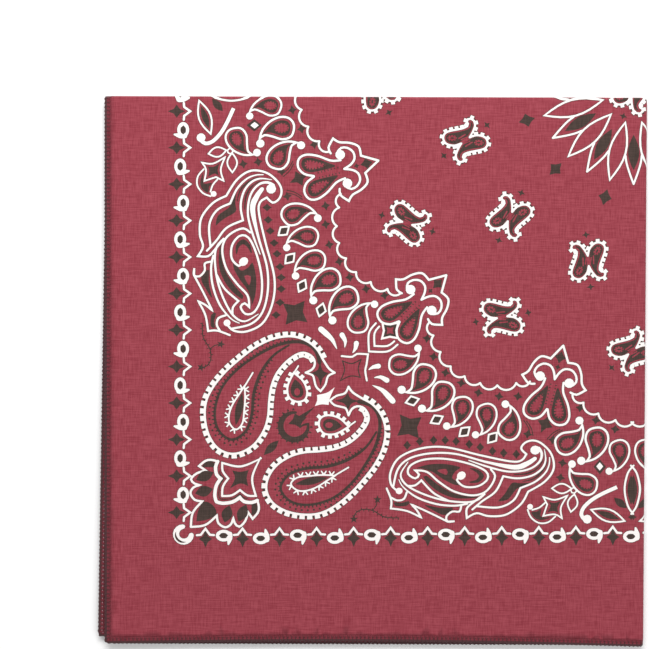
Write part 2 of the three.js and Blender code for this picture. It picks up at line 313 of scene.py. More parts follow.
def overlock_thread(name, colour, light_colour):
    """Spun polyester sewing thread: two plies twisted together, with a dull gleam along its round."""
    material = new_material(name)
    tree = material.node_tree
    place = add_node(tree, "ShaderNodeTexCoord")
    fibres = add_node(
        tree, "ShaderNodeTexNoise", {"Vector": (place, "Object"), "Scale": 2600.0, "Detail": 2.0},
    )
    colour_mix = add_node(
        tree, "ShaderNodeMix",
        {"Factor": (fibres, "Fac"), 6: linear(colour), 7: linear(light_colour)}, data_type="RGBA",
    )
    bump = add_node(
        tree, "ShaderNodeBump", {"Height": (fibres, "Fac"), "Strength": 0.3, "Distance": 0.00008},
    )
    surface = add_node(
        tree, "ShaderNodeBsdfPrincipled",
        {
            "Base Color": (colour_mix, 2), "Roughness": 0.62, "Normal": (bump, "Normal"),
            "Specular IOR Level": 0.4, "Sheen Weight": 0.1,
        },
    )
    add_node(tree, "ShaderNodeOutputMaterial", {"Surface": (surface, "BSDF")})
    return material


GROUND = woven_cotton("red_dyed_cotton_sheeting", "#86323d", "#b05560")
WHITE = woven_cotton("discharge_white_print_on_cotton", "#f4efec", "#e4dcd8", slub_share=0.35)
BLACK = woven_cotton("black_print_on_cotton", "#3b312c", "#5a4843")
# The hem band is a darker red than the ground cloth: partly the dark looper threads crowding over it, partly painted
# shade under the threads and the layered edge
HEM_GROUND = woven_cotton("red_cotton_darkened_by_stitches_and_painted_shade", "#69262f", "#8f434d")
THREAD = overlock_thread("polyester_looper_thread", "#331216", "#552a2e")
NEEDLE_THREAD = overlock_thread("polyester_needle_thread", "#4a0d17", "#6c1c27")
TIE_THREAD = overlock_thread("pale_cotton_tie_thread", "#c08e98", "#e2bcc4")
INKS = {"ground": 0, "white": 1, "black": 2, "edge": 2}


# Partitioned sheets: every printed mark is cut into the mesh of its sheet
GRID = 4.0
BACK_GRID = 11.0
BAKE_FRONT = 0.955  # share of the baked picture that the printed side takes


def sheet_outline(layer, border, step):
    """The edge of a sheet, anticlockwise from its lower left corner, as s, t places."""
    x_end = right_fold_start(0)
    xs = np.linspace(layer.left(0) + border, x_end, round(x_end / step))
    bottom = [(x, layer.bottom(x) + border) for x in xs[:-1]]
    right_arc = QUARTER_TURN * layer.right_radius
    top_arc = QUARTER_TURN * TOP_FOLD_RADIUS
    corner_s = right_fold_start(top_fold_start(x_end)) + right_arc
    corner_t = top_fold_start(right_fold_start(FOLDED_HEIGHT)) + top_arc
    bottom += [(x_end + right_arc * i / 4, layer.bottom(x_end) + border) for i in range(4)]
    ys = np.linspace(layer.bottom(x_end) + border, corner_t - top_arc, round(corner_t / step))
    right = [(right_fold_start(y) + right_arc, y) for y in ys[:-1]]
    right += [(corner_s, corner_t - top_arc * (1 - i / 4)) for i in range(4)]
    xs = np.linspace(corner_s, layer.left(FOLDED_HEIGHT) + border, round(corner_s / step))
    top = [(x, top_fold_start(np.minimum(x, right_fold_start(FOLDED_HEIGHT))) + top_arc) for x in xs[:-1]]
    ys = np.linspace(corner_t, layer.bottom(0) + border, round(corner_t / step))
    left = [(layer.left(y) + border, y) for y in ys[:-1]]
    return bottom + right + top + left


def fold_lines(layer, steps, step):
    """Lines along both folds at even turns, so that the triangles follow the rounds."""
    lines = []
    for i in range(steps):
        turn = QUARTER_TURN * i / steps
        ts = np.arange(-6, FOLDED_HEIGHT + 3, step)
        lines.append([(right_fold_start(min(t, FOLDED_HEIGHT)) + turn * layer.right_radius, t) for t in ts])
        ss = np.arange(-6, FOLDED_WIDTH + 6, step)
        lines.append([(s, top_fold_start(min(s, FOLDED_WIDTH)) + turn * TOP_FOLD_RADIUS) for s in ss])
    return lines


def ring_area(ring):
    """The area inside a ring of places, minus if it runs clockwise."""
    return sum(a[0] * b[1] - b[0] * a[1] for a, b in zip(ring, ring[1:] + ring[:1])) / 2


def partition(outline, lines, marks, grid):
    """Cuts the flat sheet along its marks. Returns places, triangles and the ink of each."""
    points = []
    edges = []
    faces = []
    areas = []

    def loop(polygon):
        # The cutter reads a face from its left side, so every outline runs anticlockwise
        area = ring_area(polygon)
        first = len(points)
        points.extend(polygon if area > 0 else polygon[::-1])
        faces.append(list(range(first, len(points))))
        areas.append(abs(area))

    loop(outline)
    for line in lines:
        first = len(points)
        points.extend(line)
        edges.extend((first + i, first + i + 1) for i in range(len(line) - 1))
    for mark in marks:
        loop(mark[1])
    jitter = random.Random(7)
    for i in range(int(FOLDED_WIDTH / grid) + 1):
        for j in range(int(FOLDED_HEIGHT / grid) + 1):
            wobble = (jitter.uniform(-0.3, 0.3), jitter.uniform(-0.3, 0.3))
            points.append(((i + 0.5 + wobble[0]) * grid, (j + 0.5 + wobble[1]) * grid))
    result = delaunay_2d_cdt([Vector(p) for p in points], edges, faces, 0, 1e-4, True)
    places = [(v.x, v.y) for v in result[0]]
    # Now and then a tiny mark that all but touches another leaks out over the sheet and is left out
    covered = [0] * len(faces)
    for corners, origins in zip(result[2], result[5]):
        area = ring_area([places[corner] for corner in corners])
        for face in origins:
            covered[face] += area
    sound = [cover < 1.5 * area + 0.5 for cover, area in zip(covered, areas)]
    triangles = []
    inks = []
    for corners, origins in zip(result[2], result[5]):
        if 0 not in origins:
            continue
        top_mark = max(face for face in origins if sound[face])
        triangles.append(tuple(corners))
        inks.append(INKS[marks[top_mark - 1][0]] if top_mark > 0 else INKS["ground"])
    used = sorted({corner for triangle in triangles for corner in triangle})
    number = {old: new for new, old in enumerate(used)}
    triangles = [tuple(number[corner] for corner in triangle) for triangle in triangles]
    return [places[old] for old in used], triangles, inks


def edge_loop(triangles):
    """The outer edge of a triangle mesh, as a ring of its corners in order."""
    inner = set()
    for a, b, c in triangles:
        inner.update(((a, b), (b, c), (c, a)))
    following = {a: b for a, b in inner if (b, a) not in inner}
    ring = [next(iter(sorted(following)))]
    while following[ring[-1]] != ring[0]:
        ring.append(following[ring[-1]])
    return ring


def mesh_object(name, points, faces, materials, indices=None, smooth_shading=True):
    mesh = bpy.data.meshes.new(name)
    mesh.from_pydata([tuple(p) for p in points], [], faces)
    for material in materials:
        mesh.materials.append(material)
    if indices is not None:
        mesh.polygons.foreach_set("material_index", indices)
    if smooth_shading:
        mesh.polygons.foreach_set("use_smooth", [True] * len(faces))
    mesh.update()
    piece = bpy.data.objects.new(name, mesh)
    bpy.context.scene.collection.objects.link(piece)
    return piece


def add_uvs(piece, name, places):
    """A UV map with one place for each vertex."""
    layer = piece.data.uv_layers.new(name=name)
    corners = np.empty(len(piece.data.loops), dtype=np.int32)
    piece.data.loops.foreach_get("vertex_index", corners)
    layer.uv.foreach_set("vector", np.asarray(places, dtype=np.float32)[corners].ravel())


def cloth_sheet(name, layer, marks):
    """One printed sheet: the partitioned face, a plain back, and a rim between them."""
    border = HEM_WIDTH - TUCK
    outline = sheet_outline(layer, border, 3.0)
    places, triangles, inks = partition(outline, fold_lines(layer, 8, 3.0), marks, GRID)
    ring = edge_loop(triangles)
    back_outline = [places[i] for i in ring]
    back_places, back_triangles, _ = partition(back_outline, fold_lines(layer, 4, 12.0), [], BACK_GRID)
    nearest = {(round(s, 4), round(t, 4)): i for i, (s, t) in enumerate(back_places)}
    back_ring = [nearest[(round(s, 4), round(t, 4))] for s, t in back_outline]
    s, t = np.array(places).T
    back_s, back_t = np.array(back_places).T
    face = CLOTH_WALL / 2
    points = np.concatenate([
        cloth_points(layer, s, t, face), cloth_points(layer, back_s, back_t, face - SHELL),
    ])
    first = len(places)
    faces = list(triangles) + [(first + a, first + c, first + b) for a, b, c in back_triangles]
    for i, here in enumerate(ring):
        onward = (i + 1) % len(ring)
        faces.append((ring[onward], here, first + back_ring[i], first + back_ring[onward]))
    indices = inks + [INKS["ground"]] * (len(faces) - len(triangles))
    if layer.side < 0:
        faces = [tuple(reversed(corners)) for corners in faces]
    piece = mesh_object(name, points, faces, [GROUND, WHITE, BLACK], indices)
    flat = np.concatenate([np.array(places), np.array(back_places)])
    size = 284.0
    bake = (flat + 1.5) / size
    bake[:first] *= BAKE_FRONT
    bake[first:, 0] = BAKE_FRONT + 0.01 + bake[first:, 0] * (1 - BAKE_FRONT - 0.015)
    add_uvs(piece, "OFBake", bake)
    add_uvs(piece, "cloth", flat)
    return piece


def inner_sheet(name):
    """The second and third layer: one sheet turned under at the right fold, print sides together."""
    border = HEM_WIDTH - TUCK
    columns = []
    for layer, flip in ((SECOND, False), (THIRD, True)):
        x_end = right_fold_start(0)
        side = [(share, 0) for share in np.linspace(0, 1, 56)]
        side += [(1, QUARTER_TURN * i / 4) for i in range(1, 4)]
        if not flip:
            side.append((1, QUARTER_TURN))
        side = [(layer, share, turn) for share, turn in side]
        columns += side[::-1] if flip else side
    rows = [(share, 0) for share in np.linspace(0, 1, 56)]
    rows += [(1, QUARTER_TURN * i / 4) for i in range(1, 5)]
    points = []
    flat = []
    for off in (CLOTH_WALL / 2, CLOTH_WALL / 2 - SHELL):
        for layer, share_x, right_turn in columns:
            for share_y, top_turn in rows:
                x_guess = share_x * right_fold_start(0)
                low = layer.bottom(x_guess) + border
                y = low + (top_fold_start(x_guess) - low) * share_y
                x = layer.left(y) + border
                x += (right_fold_start(y) - x) * share_x
                y = top_fold_start(x) if share_y == 1 else y
                points.append(folded(layer, x, y, right_turn, top_turn, off))
                reach = x if layer is SECOND else 2 * FOLDED_WIDTH - x
                flat.append((reach, y))
    count = len(rows)
    half = len(columns) * count
    faces = []
    for i in range(len(columns) - 1):
        for j in range(count - 1):
            a, b = i * count + j, (i + 1) * count + j
            faces.append((a, a + 1, b + 1, b))
            faces.append((half + a, half + b, half + b + 1, half + a + 1))
    rim = [i * count for i in range(len(columns))]
    rim += [(len(columns) - 1) * count + j for j in range(1, count)]
    rim += [i * count + count - 1 for i in range(len(columns) - 2, -1, -1)]
    rim += [j for j in range(count - 2, 0, -1)]
    for k, here in enumerate(rim):
        onward = rim[(k + 1) % len(rim)]
        faces.append((here, onward, half + onward, half + here))
    piece = mesh_object(name, points, faces, [GROUND])
    add_uvs(piece, "cloth", flat)
    return piece


# Hems
STITCH_PITCH = 2.08
HEM_SECTION = [
    (0.0, 0.0), (0.02, 0.45), (0.08, 0.78), (0.18, 0.96), (0.34, 1.0), (0.55, 0.94), (0.74, 1.0),
    (0.88, 0.86), (0.97, 0.5), (1.0, 0.0), (0.97, -0.5), (0.88, -0.86), (0.74, -1.0),
    (0.55, -0.94), (0.34, -1.0), (0.18, -0.96), (0.08, -0.78), (0.02, -0.45),
]


class HemRun:
    """The open edge of one layer: down the left, round the corner and along the bottom."""

    def __init__(self, layer):
        self.layer = layer
        self.fold_top = TOP_FOLD_RADIUS * QUARTER_TURN
        self.left_high = float(top_fold_start(0))
        self.left_low = float(layer.bottom(0)) + HEM_WIDTH
        self.corner = HEM_WIDTH * QUARTER_TURN * 0.8
        self.bottom_left = float(layer.left(0)) + HEM_WIDTH
        self.bottom_right = float(right_fold_start(0))
        self.fold_right = layer.right_radius * QUARTER_TURN
        runs = (
            self.fold_top, self.left_high - self.left_low, self.corner,
            self.bottom_right - self.bottom_left, self.fold_right,
        )
        self.ends = np.cumsum(runs)
        self.length = float(self.ends[-1])

    def point(self, along, inward, off):
        """along mm down the run, inward mm from the open edge, off mm outward of the middle."""
        layer = self.layer
        right_turn = top_turn = 0.0
        if along < self.ends[1]:
            y = min(self.left_high - (along - self.ends[0]), self.left_high)
            top_turn = min(max(self.fold_top - along, 0) / TOP_FOLD_RADIUS, QUARTER_TURN)
            x = float(layer.left(y)) + inward
        elif along < self.ends[2]:
            angle = QUARTER_TURN * (along - self.ends[1]) / self.corner
            squareness = max(math.cos(angle), math.sin(angle)) ** -CORNER_SHARPNESS
            reach = (HEM_WIDTH - inward) * squareness
            x = float(layer.left(0)) + HEM_WIDTH - reach * math.cos(angle)
            y = float(layer.bottom(0)) + HEM_WIDTH - reach * math.sin(angle)
        else:
            x = min(self.bottom_left + along - self.ends[2], self.bottom_right)
            right_turn = min(max(along - self.ends[3], 0) / layer.right_radius, QUARTER_TURN)
            y = float(layer.bottom(x)) + inward
        outward = off if layer.outer else -off
        return folded(layer, x, y, right_turn, top_turn, outward)


def add_thread(points, faces, path, radius, sides=5):
    """A round thread along a short path of points, tapered at both ends."""
    path = [Vector(p) for p in path]
    first = len(points)
    for k, here in enumerate(path):
        onward = (path[min(k + 1, len(path) - 1)] - path[max(k - 1, 0)]).normalized()
        across = onward.cross(Vector((0.3, 0.2, 1))).normalized()
        up = across.cross(onward)
        thick = radius * (0.45 if k in (0, len(path) - 1) else 1.0)
        for i in range(sides):
            angle = 2 * math.pi * i / sides
            points.append(here + (across * math.cos(angle) + up * math.sin(angle)) * thick)
    for k in range(len(path) - 1):
        for i in range(sides):
            a = first + k * sides + i
            b = first + k * sides + (i + 1) % sides
            faces.append((a, b, b + sides, a + sides))
    faces.append(tuple(first + i for i in reversed(range(sides))))
    faces.append(tuple(first + (len(path) - 1) * sides + i for i in range(sides)))


def hem(name, layer):
    """A turned and overlocked hem: the rounded band of cloth, and the thread over it."""
    run = HemRun(layer)
    wander = random.Random(len(name) * 31)
    steps = round(run.length / (STITCH_PITCH / 2))
    phases = [wander.uniform(0, 6) for _ in range(3)]
    points = []
    flat = []
    for k in range(steps + 1):
        along = run.length * k / steps
        pull = 0.5 + 0.5 * math.cos(2 * math.pi * along / STITCH_PITCH)
        loft = 0.94 + 0.05 * math.sin(along / 9 + phases[0]) - 0.07 * pull
        loft -= 0.04 * math.sin(along / 3.7 + phases[1]) ** 2
        for across, off in HEM_SECTION:
            inward = across * HEM_WIDTH
            if across < 0.1:
                inward += 0.09 * pull
            points.append(run.point(along, inward, off * loft * CLOTH_WALL / 2))
            flat.append((inward, along))
    ring = len(HEM_SECTION)
    faces = []
    for k in range(steps):
        for i in range(ring):
            here, beside = k * ring + i, k * ring + (i + 1) % ring
            faces.append((here, here + ring, beside + ring, beside))
    faces.append(tuple(range(ring)))
    faces.append(tuple(reversed(range(steps * ring, (steps + 1) * ring))))
    if layer.side < 0:
        faces = [tuple(reversed(corners)) for corners in faces]
    # At the very edge the looper threads lie side by side and hide the cloth
    wrapped = [int(max(HEM_SECTION[i][0], HEM_SECTION[(i + 1) % ring][0]) < 0.35) for i in range(ring)]
    indices = wrapped * steps + [0, 0]
    half = CLOTH_WALL / 2
    thread = 0.19
    for k in range(int(run.length / STITCH_PITCH)):
        start = (k + 0.3) * STITCH_PITCH
        if start + 1.4 > run.length:
            break
        lean = wander.uniform(-0.15, 0.15)
        seam = 2.35 + wander.uniform(-0.12, 0.12)
        for face in (1, -1):
            height = face * half * 0.93
            needle = [(0.0, seam, 0.9), (0.35, seam, 1.05), (1.0, seam, 1.05), (1.35, seam, 0.9)]
            path = [run.point(start + a, w, height * h) for a, w, h in needle]
            add_thread(points, faces, path, 1.6 * thread * MM)
            indices += [2] * (len(faces) - len(indices))
            slant = 0.9 + lean
            looper = [(0.1, 3.1, 1.0), (0.4, 1.9, 1.08), (slant - 0.2, 0.9, 1.05), (slant, 0.12, 0.45)]
            path = [run.point(start + a, w, height * h) for a, w, h in looper]
            add_thread(points, faces, path, thread * MM)
            indices += [1] * (len(faces) - len(indices))
        knot = [(slant - 0.5, 0.06, 0.3), (slant, 0.0, 0.0), (slant + 0.6, 0.06, -0.3)]
        path = [run.point(start + a, w, half * h) for a, w, h in knot]
        add_thread(points, faces, path, 1.4 * thread * MM)
        indices += [1] * (len(faces) - len(indices))
        if layer is SECOND:
            tie = [(0.7, 2.15, 0.95), (1.0, 2.1, 1.2), (1.35, 2.05, 0.95)]
            path = [run.point(start + a, w, half * h) for a, w, h in tie]
            add_thread(points, faces, path, 1.2 * thread * MM)
            indices += [3] * (len(faces) - len(indices))
    flat += [(0.0, 0.0)] * (len(points) - len(flat))
    points = [(x, y, max(z, 0)) for x, y, z in points]
    piece = mesh_object(name, points, faces, [HEM_GROUND, THREAD, NEEDLE_THREAD, TIE_THREAD], indices)
    add_uvs(piece, "cloth", flat)
    return piece


# The print. A place on the cloth is a complex number: mm to the right and, times 1j, mm up, from the
# corner of the printed border. A mark is an ink and a closed outline; later marks cover earlier ones.
PRINT_STEP = 1.3  # length of the short straights that a drawn curve is made of
EDGE = 0.24  # how far the black screen reaches out from under the white


def turned(degrees):
    return cmath.rect(1, math.radians(degrees))


def curve(points, closed=False, step=PRINT_STEP):
    """A smooth run through a few places. A place given twice in a row is a sharp corner."""
    count = len(points)
    run = []
    for k in range(count if closed else count - 1):
        start, end = points[k], points[(k + 1) % count]
        if start == end:
            continue
        before = points[k - 1] if closed or k > 0 else start
        after = points[(k + 2) % count] if closed or k + 2 < count else end
        steps = max(1, round(abs(end - start) / step))
        for i in range(steps):
            u = i / steps
            run.append(0.5 * (
                2 * start + (end - before) * u + (2 * before - 5 * start + 4 * end - after) * u**2
                + (3 * start - before - 3 * end + after) * u**3
            ))
    if not closed:
        run.append(points[-1])
    return run


def arc(centre, radius, start, end, step=PRINT_STEP):
    count = max(3, round(abs(radius) * math.radians(abs(end - start)) / step))
    return [centre + radius * turned(start + (end - start) * i / count) for i in range(count + 1)]


def arched(start, end, rise):
    """A round arc between two places, its middle rise mm to the right of the straight way."""
    half = (end - start) / 2
    radius = (abs(half) ** 2 + rise**2) / (2 * rise)
    centre = start + half + half / abs(half) * 1j * (radius - rise)
    from_angle = math.degrees(cmath.phase(start - centre))
    return arc(centre, radius, from_angle, from_angle + 2 * math.degrees(math.asin(abs(half) / radius)))


def normals(run, closed=False):
    """The left-hand side of a run at each of its places, longer at a bend so that a line keeps its width."""
    count = len(run)
    sides = []
    for k in range(count):
        back = run[k] - run[k - 1] if closed or k > 0 else run[1] - run[0]
        ahead = run[(k + 1) % count] - run[k] if closed or k + 1 < count else run[-1] - run[-2]
        back, ahead = back / abs(back), ahead / abs(ahead)
        middle = back + ahead
        if abs(middle) < 0.3:
            sides.append(back * 1j)
            continue
        middle /= abs(middle)
        cosine = (middle * back.conjugate()).real
        sides.append(middle * 1j / max(cosine, 0.5))
    return sides


def offset(run, distance):
    return [place + side * distance for place, side in zip(run, normals(run))]


def fill(ink, outline):
    return [(ink, outline)]


def spot(ink, centre, radius, longer=1.0, turn=0, corners=10):
    """A round or oval dab of ink."""
    along = turned(turn)
    ring = []
    for i in range(corners):
        angle = 2 * math.pi * i / corners
        ring.append(centre + radius * along * complex(longer * math.cos(angle), math.sin(angle)))
    return fill(ink, ring)


def line(ink, run, width, closed=False, round_ends=True):
    """A drawn line. Its width is one number, or several that follow each other along the line.
    A white one has a thin black edge, where the black screen was cut a little wider."""
    widths = width if isinstance(width, tuple) else (width, width)
    share = 0.45 if ink == "white" else 0.5  # the white paste draws in a little as it dries
    halves = np.interp(np.linspace(0, 1, len(run)), np.linspace(0, 1, len(widths)), widths) * share
    sides = normals(run, closed)
    marks = []
    count = len(run)
    for part_ink, more in ((("edge", EDGE), ("white", 0)) if ink == "white" else ((ink, 0),)):
        left = [place + side * (half + more) for place, side, half in zip(run, sides, halves)]
        right = [place - side * (half + more) for place, side, half in zip(run, sides, halves)]
        for k in range(count if closed else count - 1):
            onward = (k + 1) % count
            marks.append((part_ink, [left[k], right[k], right[onward]]))
            marks.append((part_ink, [left[k], right[onward], left[onward]]))
        if round_ends and not closed:
            for place, half in ((run[0], halves[0]), (run[-1], halves[-1])):
                if half > 0.25:
                    marks += spot(part_ink, place, half + more, corners=8)
    return marks


def lens(run_start, run_end, half_width, blunt=0.0):
    """A pointed leaf between two places, as a closed outline."""
    along = run_end - run_start
    side = along / abs(along) * 1j * half_width
    steps = 8
    left = []
    right = []
    for i in range(1, steps):
        u = i / steps
        bulge = math.sin(math.pi * u ** (1 + blunt))
        left.append(run_start + along * u + side * bulge)
        right.append(run_start + along * u - side * bulge)
    return [run_start] + right + [run_end] + left[::-1]


def star(ink, centre, half_long, half_short=None, turn=0, pinch=0.34, points=4):
    """A star with hollow sides, as wide as it is tall unless told otherwise."""
    half_short = half_long if half_short is None else half_short
    ring = []
    for i in range(points * 2):
        reach = 1.0 if i % 2 == 0 else pinch
        angle = math.pi * i / points
        ring.append(centre + turned(turn) * reach * complex(
            half_long * math.cos(angle), half_short * math.sin(angle)))
    return fill(ink, ring)


def placed(marks, at=0, turn=0, size=1.0, flip=False):
    """The same marks moved to a place, turned and sized. Flipped ones are mirrored first."""
    spin = turned(turn) * size
    return [
        (ink, [at + spin * (z.conjugate() if flip else z) for z in outline]) for ink, outline in marks
    ]


def over_diagonal(marks, shift=0):
    """Marks of the upper half of a corner, mirrored into its lower half."""
    return [(ink, [1j * z.conjugate() + shift for z in outline]) for ink, outline in marks]


def stations(run, pitch, phase=0.5):
    """Places at even distances along a run, each with the way that the run goes there."""
    lengths = np.cumsum([0] + [abs(b - a) for a, b in zip(run, run[1:])])
    reals, imags = [z.real for z in run], [z.imag for z in run]

    def at(distance):
        return complex(np.interp(distance, lengths, reals), np.interp(distance, lengths, imags))

    count = max(1, int(lengths[-1] / pitch))
    found = []
    for k in range(count):
        middle = (k + phase) * lengths[-1] / count
        way = at(middle + 0.5) - at(middle - 0.5)
        found.append((at(middle), way / abs(way)))
    return found


def ticks(ink, run, side, pitch, width, length, taper=0.75, phase=0.5):
    """Short bars standing on one side of a run: side is 1 for its left and -1 for its right."""
    marks = []
    for part_ink, more in ((("edge", EDGE), ("white", 0)) if ink == "white" else ((ink, 0),)):
        for place, way in stations(run, pitch, phase):
            foot = way * (width / 2 + more)
            end = way * (width / 2 * taper + more)
            out = way * 1j * side * (length + more)
            marks.append((part_ink, [place - foot, place + foot, place + end + out, place - end + out]))
    return marks


def rays(run, side, pitch, length):
    """Pairs of thin white strokes, each pair spreading from one foot."""
    marks = []
    for place, way in stations(run, pitch):
        for lean in (-32, 32):
            marks += line("white", [place, place + way * 1j * side * turned(lean) * length], (1.0, 0.7), round_ends=False)
    return marks


def dots(run, pitch, radius):
    return [mark for place, _ in stations(run, pitch) for mark in spot("black", place, radius, corners=6)]


# Motifs of the border chain. Along the chain is to the right, the field lies above.
CHAIN_PITCH = 18.81
CHAIN_STARS = 0.62  # the first star's place in pitches from the corner
CHAIN_LOOPS = 1.11
CHAIN_LENGTH = 12


def chain_loop(tail_up, tail_ahead):
    """A white ring with a short tail, like a little comma."""
    up = 1 if tail_up else -1
    ahead = 1 if tail_ahead else -1
    marks = spot("edge", 0, 3.25, longer=1.31, corners=18) + spot("white", 0, 3.05, longer=1.32, corners=18)
    tail = curve([3.0 * ahead - 0.6j * up, 3.0 * ahead + 1.6j * up, 2.4 * ahead + 4.4j * up])
    marks += line("white", tail, (3.4, 3.0, 1.1))
    hole = curve([-2.4 + 0j, -1.3 - 1.3j * up, 1.0 - 1.3j * up, 2.3 + 0.2j, 1.2 + 1.3j * up, -1.4 + 1.2j * up], True)
    return marks + fill("black", hole)


def chain(tail_ahead):
    marks = []
    for k in range(CHAIN_LENGTH):
        at = CHAIN_PITCH * (k + CHAIN_STARS) - 2.1j
        marks += placed(star("black", 0 if tail_ahead else -1.6j, 3.4, 4.5, pinch=0.5), at)
        zigzag = [-4.4 + 2.0j, -2.4 + 2.2j, 0 + 5.3j, 2.2 + 2.2j, 4.3 + 2.0j]
        marks += placed(line("white", zigzag, 1.25), at)
        tail_up = k % 2 == 1
        if tail_ahead and k == CHAIN_LENGTH - 1:
            break  # the loop on the middle line is drawn with the middle of the cloth, only once
        at = CHAIN_PITCH * (k + CHAIN_LOOPS) + (-1.9j if tail_up else -0.4j)
        marks += placed(chain_loop(tail_up, tail_ahead), at)
    return marks


def corner_crescent():
    marks = line("white", arc(0.6 + 0.5j, 3.9, 96, 352), (2.6, 3.4, 3.5, 3.4, 2.8))
    return marks + line("black", arc(0.6 + 0.5j, 4.2, 165, 285), (0.2, 1.1, 1.1, 0.2), round_ends=False)


# Motifs of the corner
def palmette():
    """A pointed square in a bracket, with a fan of leaves behind it towards the corner."""
    half = [
        4.2 + 4.2j, 4.2 + 4.2j, 5.2 + 11.5j, 10 + 17.4j, 10 + 17.4j, 6.2 + 18.2j, 4.0 + 21.6j,
        5.6 + 24.6j, 9.0 + 25.8j, 9.0 + 25.8j, 6.2 + 26.5j, 4.3 + 28.8j, 7.2 + 31.8j, 11.8 + 33.3j,
        11.8 + 33.3j, 8.4 + 35.6j, 8.4 + 35.6j, 11.5 + 38.2j, 14.4 + 38.8j, 17.9 + 38.0j,
    ]
    marks = []
    for mirror in (False, True):
        part = line("white", curve(half), 1.25)
        part += line("white", curve([
            17.9 + 38j, 16.8 + 35.2j, 17.3 + 31.2j, 19.4 + 29.1j, 19.4 + 29.1j, 17.1 + 25.4j,
            16.4 + 20.2j, 17.2 + 17.2j,
        ]), 1.9)
        part += line("white", curve([
            20.1 + 20.1j, 20.1 + 20.1j, 20.5 + 25j, 23.2 + 29.2j, 23.2 + 29.2j, 20.4 + 33j,
            20.2 + 37.2j, 20.2 + 37.2j, 29.6 + 35.4j, 40 + 39.6j,
        ]), (1.2, 1.2, 1.2, 1.2, 0.8))
        part += fill("black", lens(6.4 + 21.4j, 15.4 + 23.8j, 2.8))
        part += fill("black", lens(6.8 + 28.4j, 15.8 + 32.4j, 2.7))
        part += line("black", curve([10.4 + 35.4j, 13.2 + 36.6j, 16 + 36.2j]), (1.0, 3.2, 2.4), round_ends=False)
        part += line("black", curve([18.9 + 33j, 19.2 + 31j, 21.1 + 29.1j, 19.2 + 26.5j, 18.4 + 21j, 18.9 + 18.9j]), 0.55)
        marks += over_diagonal(part) if mirror else part
    marks += fill("black", curve([7.0 + 7.0j, 7.0 + 7.0j, 8.0 + 12.8j, 11 + 17.2j, 15.4 + 15.4j, 17.2 + 11j, 12.8 + 8.0j], True))
    marks += fill("black", curve([
        24 + 24j, 24 + 24j, 26.6 + 29.3j, 25.2 + 33.4j, 25.2 + 33.4j, 29.4 + 32.6j, 33.6 + 33.6j,
        33.6 + 33.6j, 32.6 + 29.4j, 33.4 + 25.2j, 33.4 + 25.2j, 29.3 + 26.6j,
    ], True))
    return marks


def corner_boteh():
    """The tall fringed paisley of the corner: a round body whose neck bends over into a lily head."""
    loop = curve([
        69.6 + 89j, 68.0 + 94.4j, 64.2 + 98.2j, 57.8 + 99.7j, 48.1 + 97.9j, 37.2 + 92.3j, 27.1 + 84.8j,
        19.7 + 75.4j, 16.4 + 64j, 18.1 + 54.4j, 24.8 + 49.2j, 31.8 + 53.2j, 35.1 + 61.9j, 36.2 + 73j,
        39.8 + 83.6j, 46.0 + 92.4j, 54.0 + 97.9j,
    ])
    marks = line("black", loop, (2.1, 1.7, 1.4, 1.3, 1.3, 1.5, 1.7, 1.0))
    marks += ticks("black", loop[14:-8], -1, 1.9, 1.1, 1.6, 0.5)
    marks += dots(offset(loop, -2.8)[14:-12], 3.0, 0.6)
    outline = curve([
        62.5 + 83.7j, 65.8 + 85.4j, 67.2 + 88.2j, 66.2 + 91.6j, 62.6 + 93.8j, 58.6 + 93.4j, 53 + 89.6j,
        48 + 83.6j, 45.2 + 76.8j, 44 + 69j, 43.4 + 61j, 41.2 + 53.8j, 36.6 + 47j, 30.4 + 42.9j,
        24 + 42j, 17.8 + 44.9j, 13.4 + 51.4j, 11.4 + 60j, 11.9 + 68.6j, 15.4 + 76.2j, 21.4 + 83.8j,
        29 + 90.8j, 37.2 + 97j, 46 + 101.2j, 55 + 102.5j, 62.6 + 100.4j, 68.2 + 95.9j, 71.4 + 90.4j,
        74.4 + 85.8j, 77.3 + 83.7j,
    ])
    marks += ticks("black", outline[6:-7], 1, 3.7, 1.2, 1.9, 0.9, phase=0.0)
    marks += ticks("white", outline[6:-7], 1, 3.7, 2.5, 2.4, 1.12)
    marks += line("white", outline, 1.25)
    marks += line("white", curve([
        77.3 + 83.7j, 77.3 + 83.7j, 73.9 + 81.9j, 72.6 + 77.6j, 70.1 + 74.2j, 70.1 + 74.2j, 67.8 + 76.6j,
        66.8 + 80.4j, 66 + 82.4j, 62.5 + 83.7j,
    ]), 1.15)
    marks += fill("black", curve([
        70.1 + 76.4j, 70.1 + 76.4j, 71.3 + 80.8j, 74.2 + 83.5j, 74.2 + 83.5j, 71.2 + 84.9j, 69.8 + 90j,
        69.8 + 90j, 68.7 + 85.3j, 65.2 + 83.7j, 65.2 + 83.7j, 68.7 + 81.3j,
    ], True))
    drop = curve([
        31.4 + 76.9j, 31.4 + 76.9j, 29 + 73j, 25.5 + 67.5j, 23.6 + 62j, 24 + 57.4j, 27.2 + 54.4j,
        30.4 + 57.6j, 31.3 + 64j, 31.8 + 71j,
    ], True)
    marks += rays(drop + drop[:1], -1, 3.8, 2.5)
    marks += line("white", drop, 0.95, closed=True) + line("white", [31.4 + 76.5j, 35.7 + 83.7j], 0.9)
    return marks + fill("black", lens(27.0 + 56.4j, 30.4 + 73.4j, 1.9))


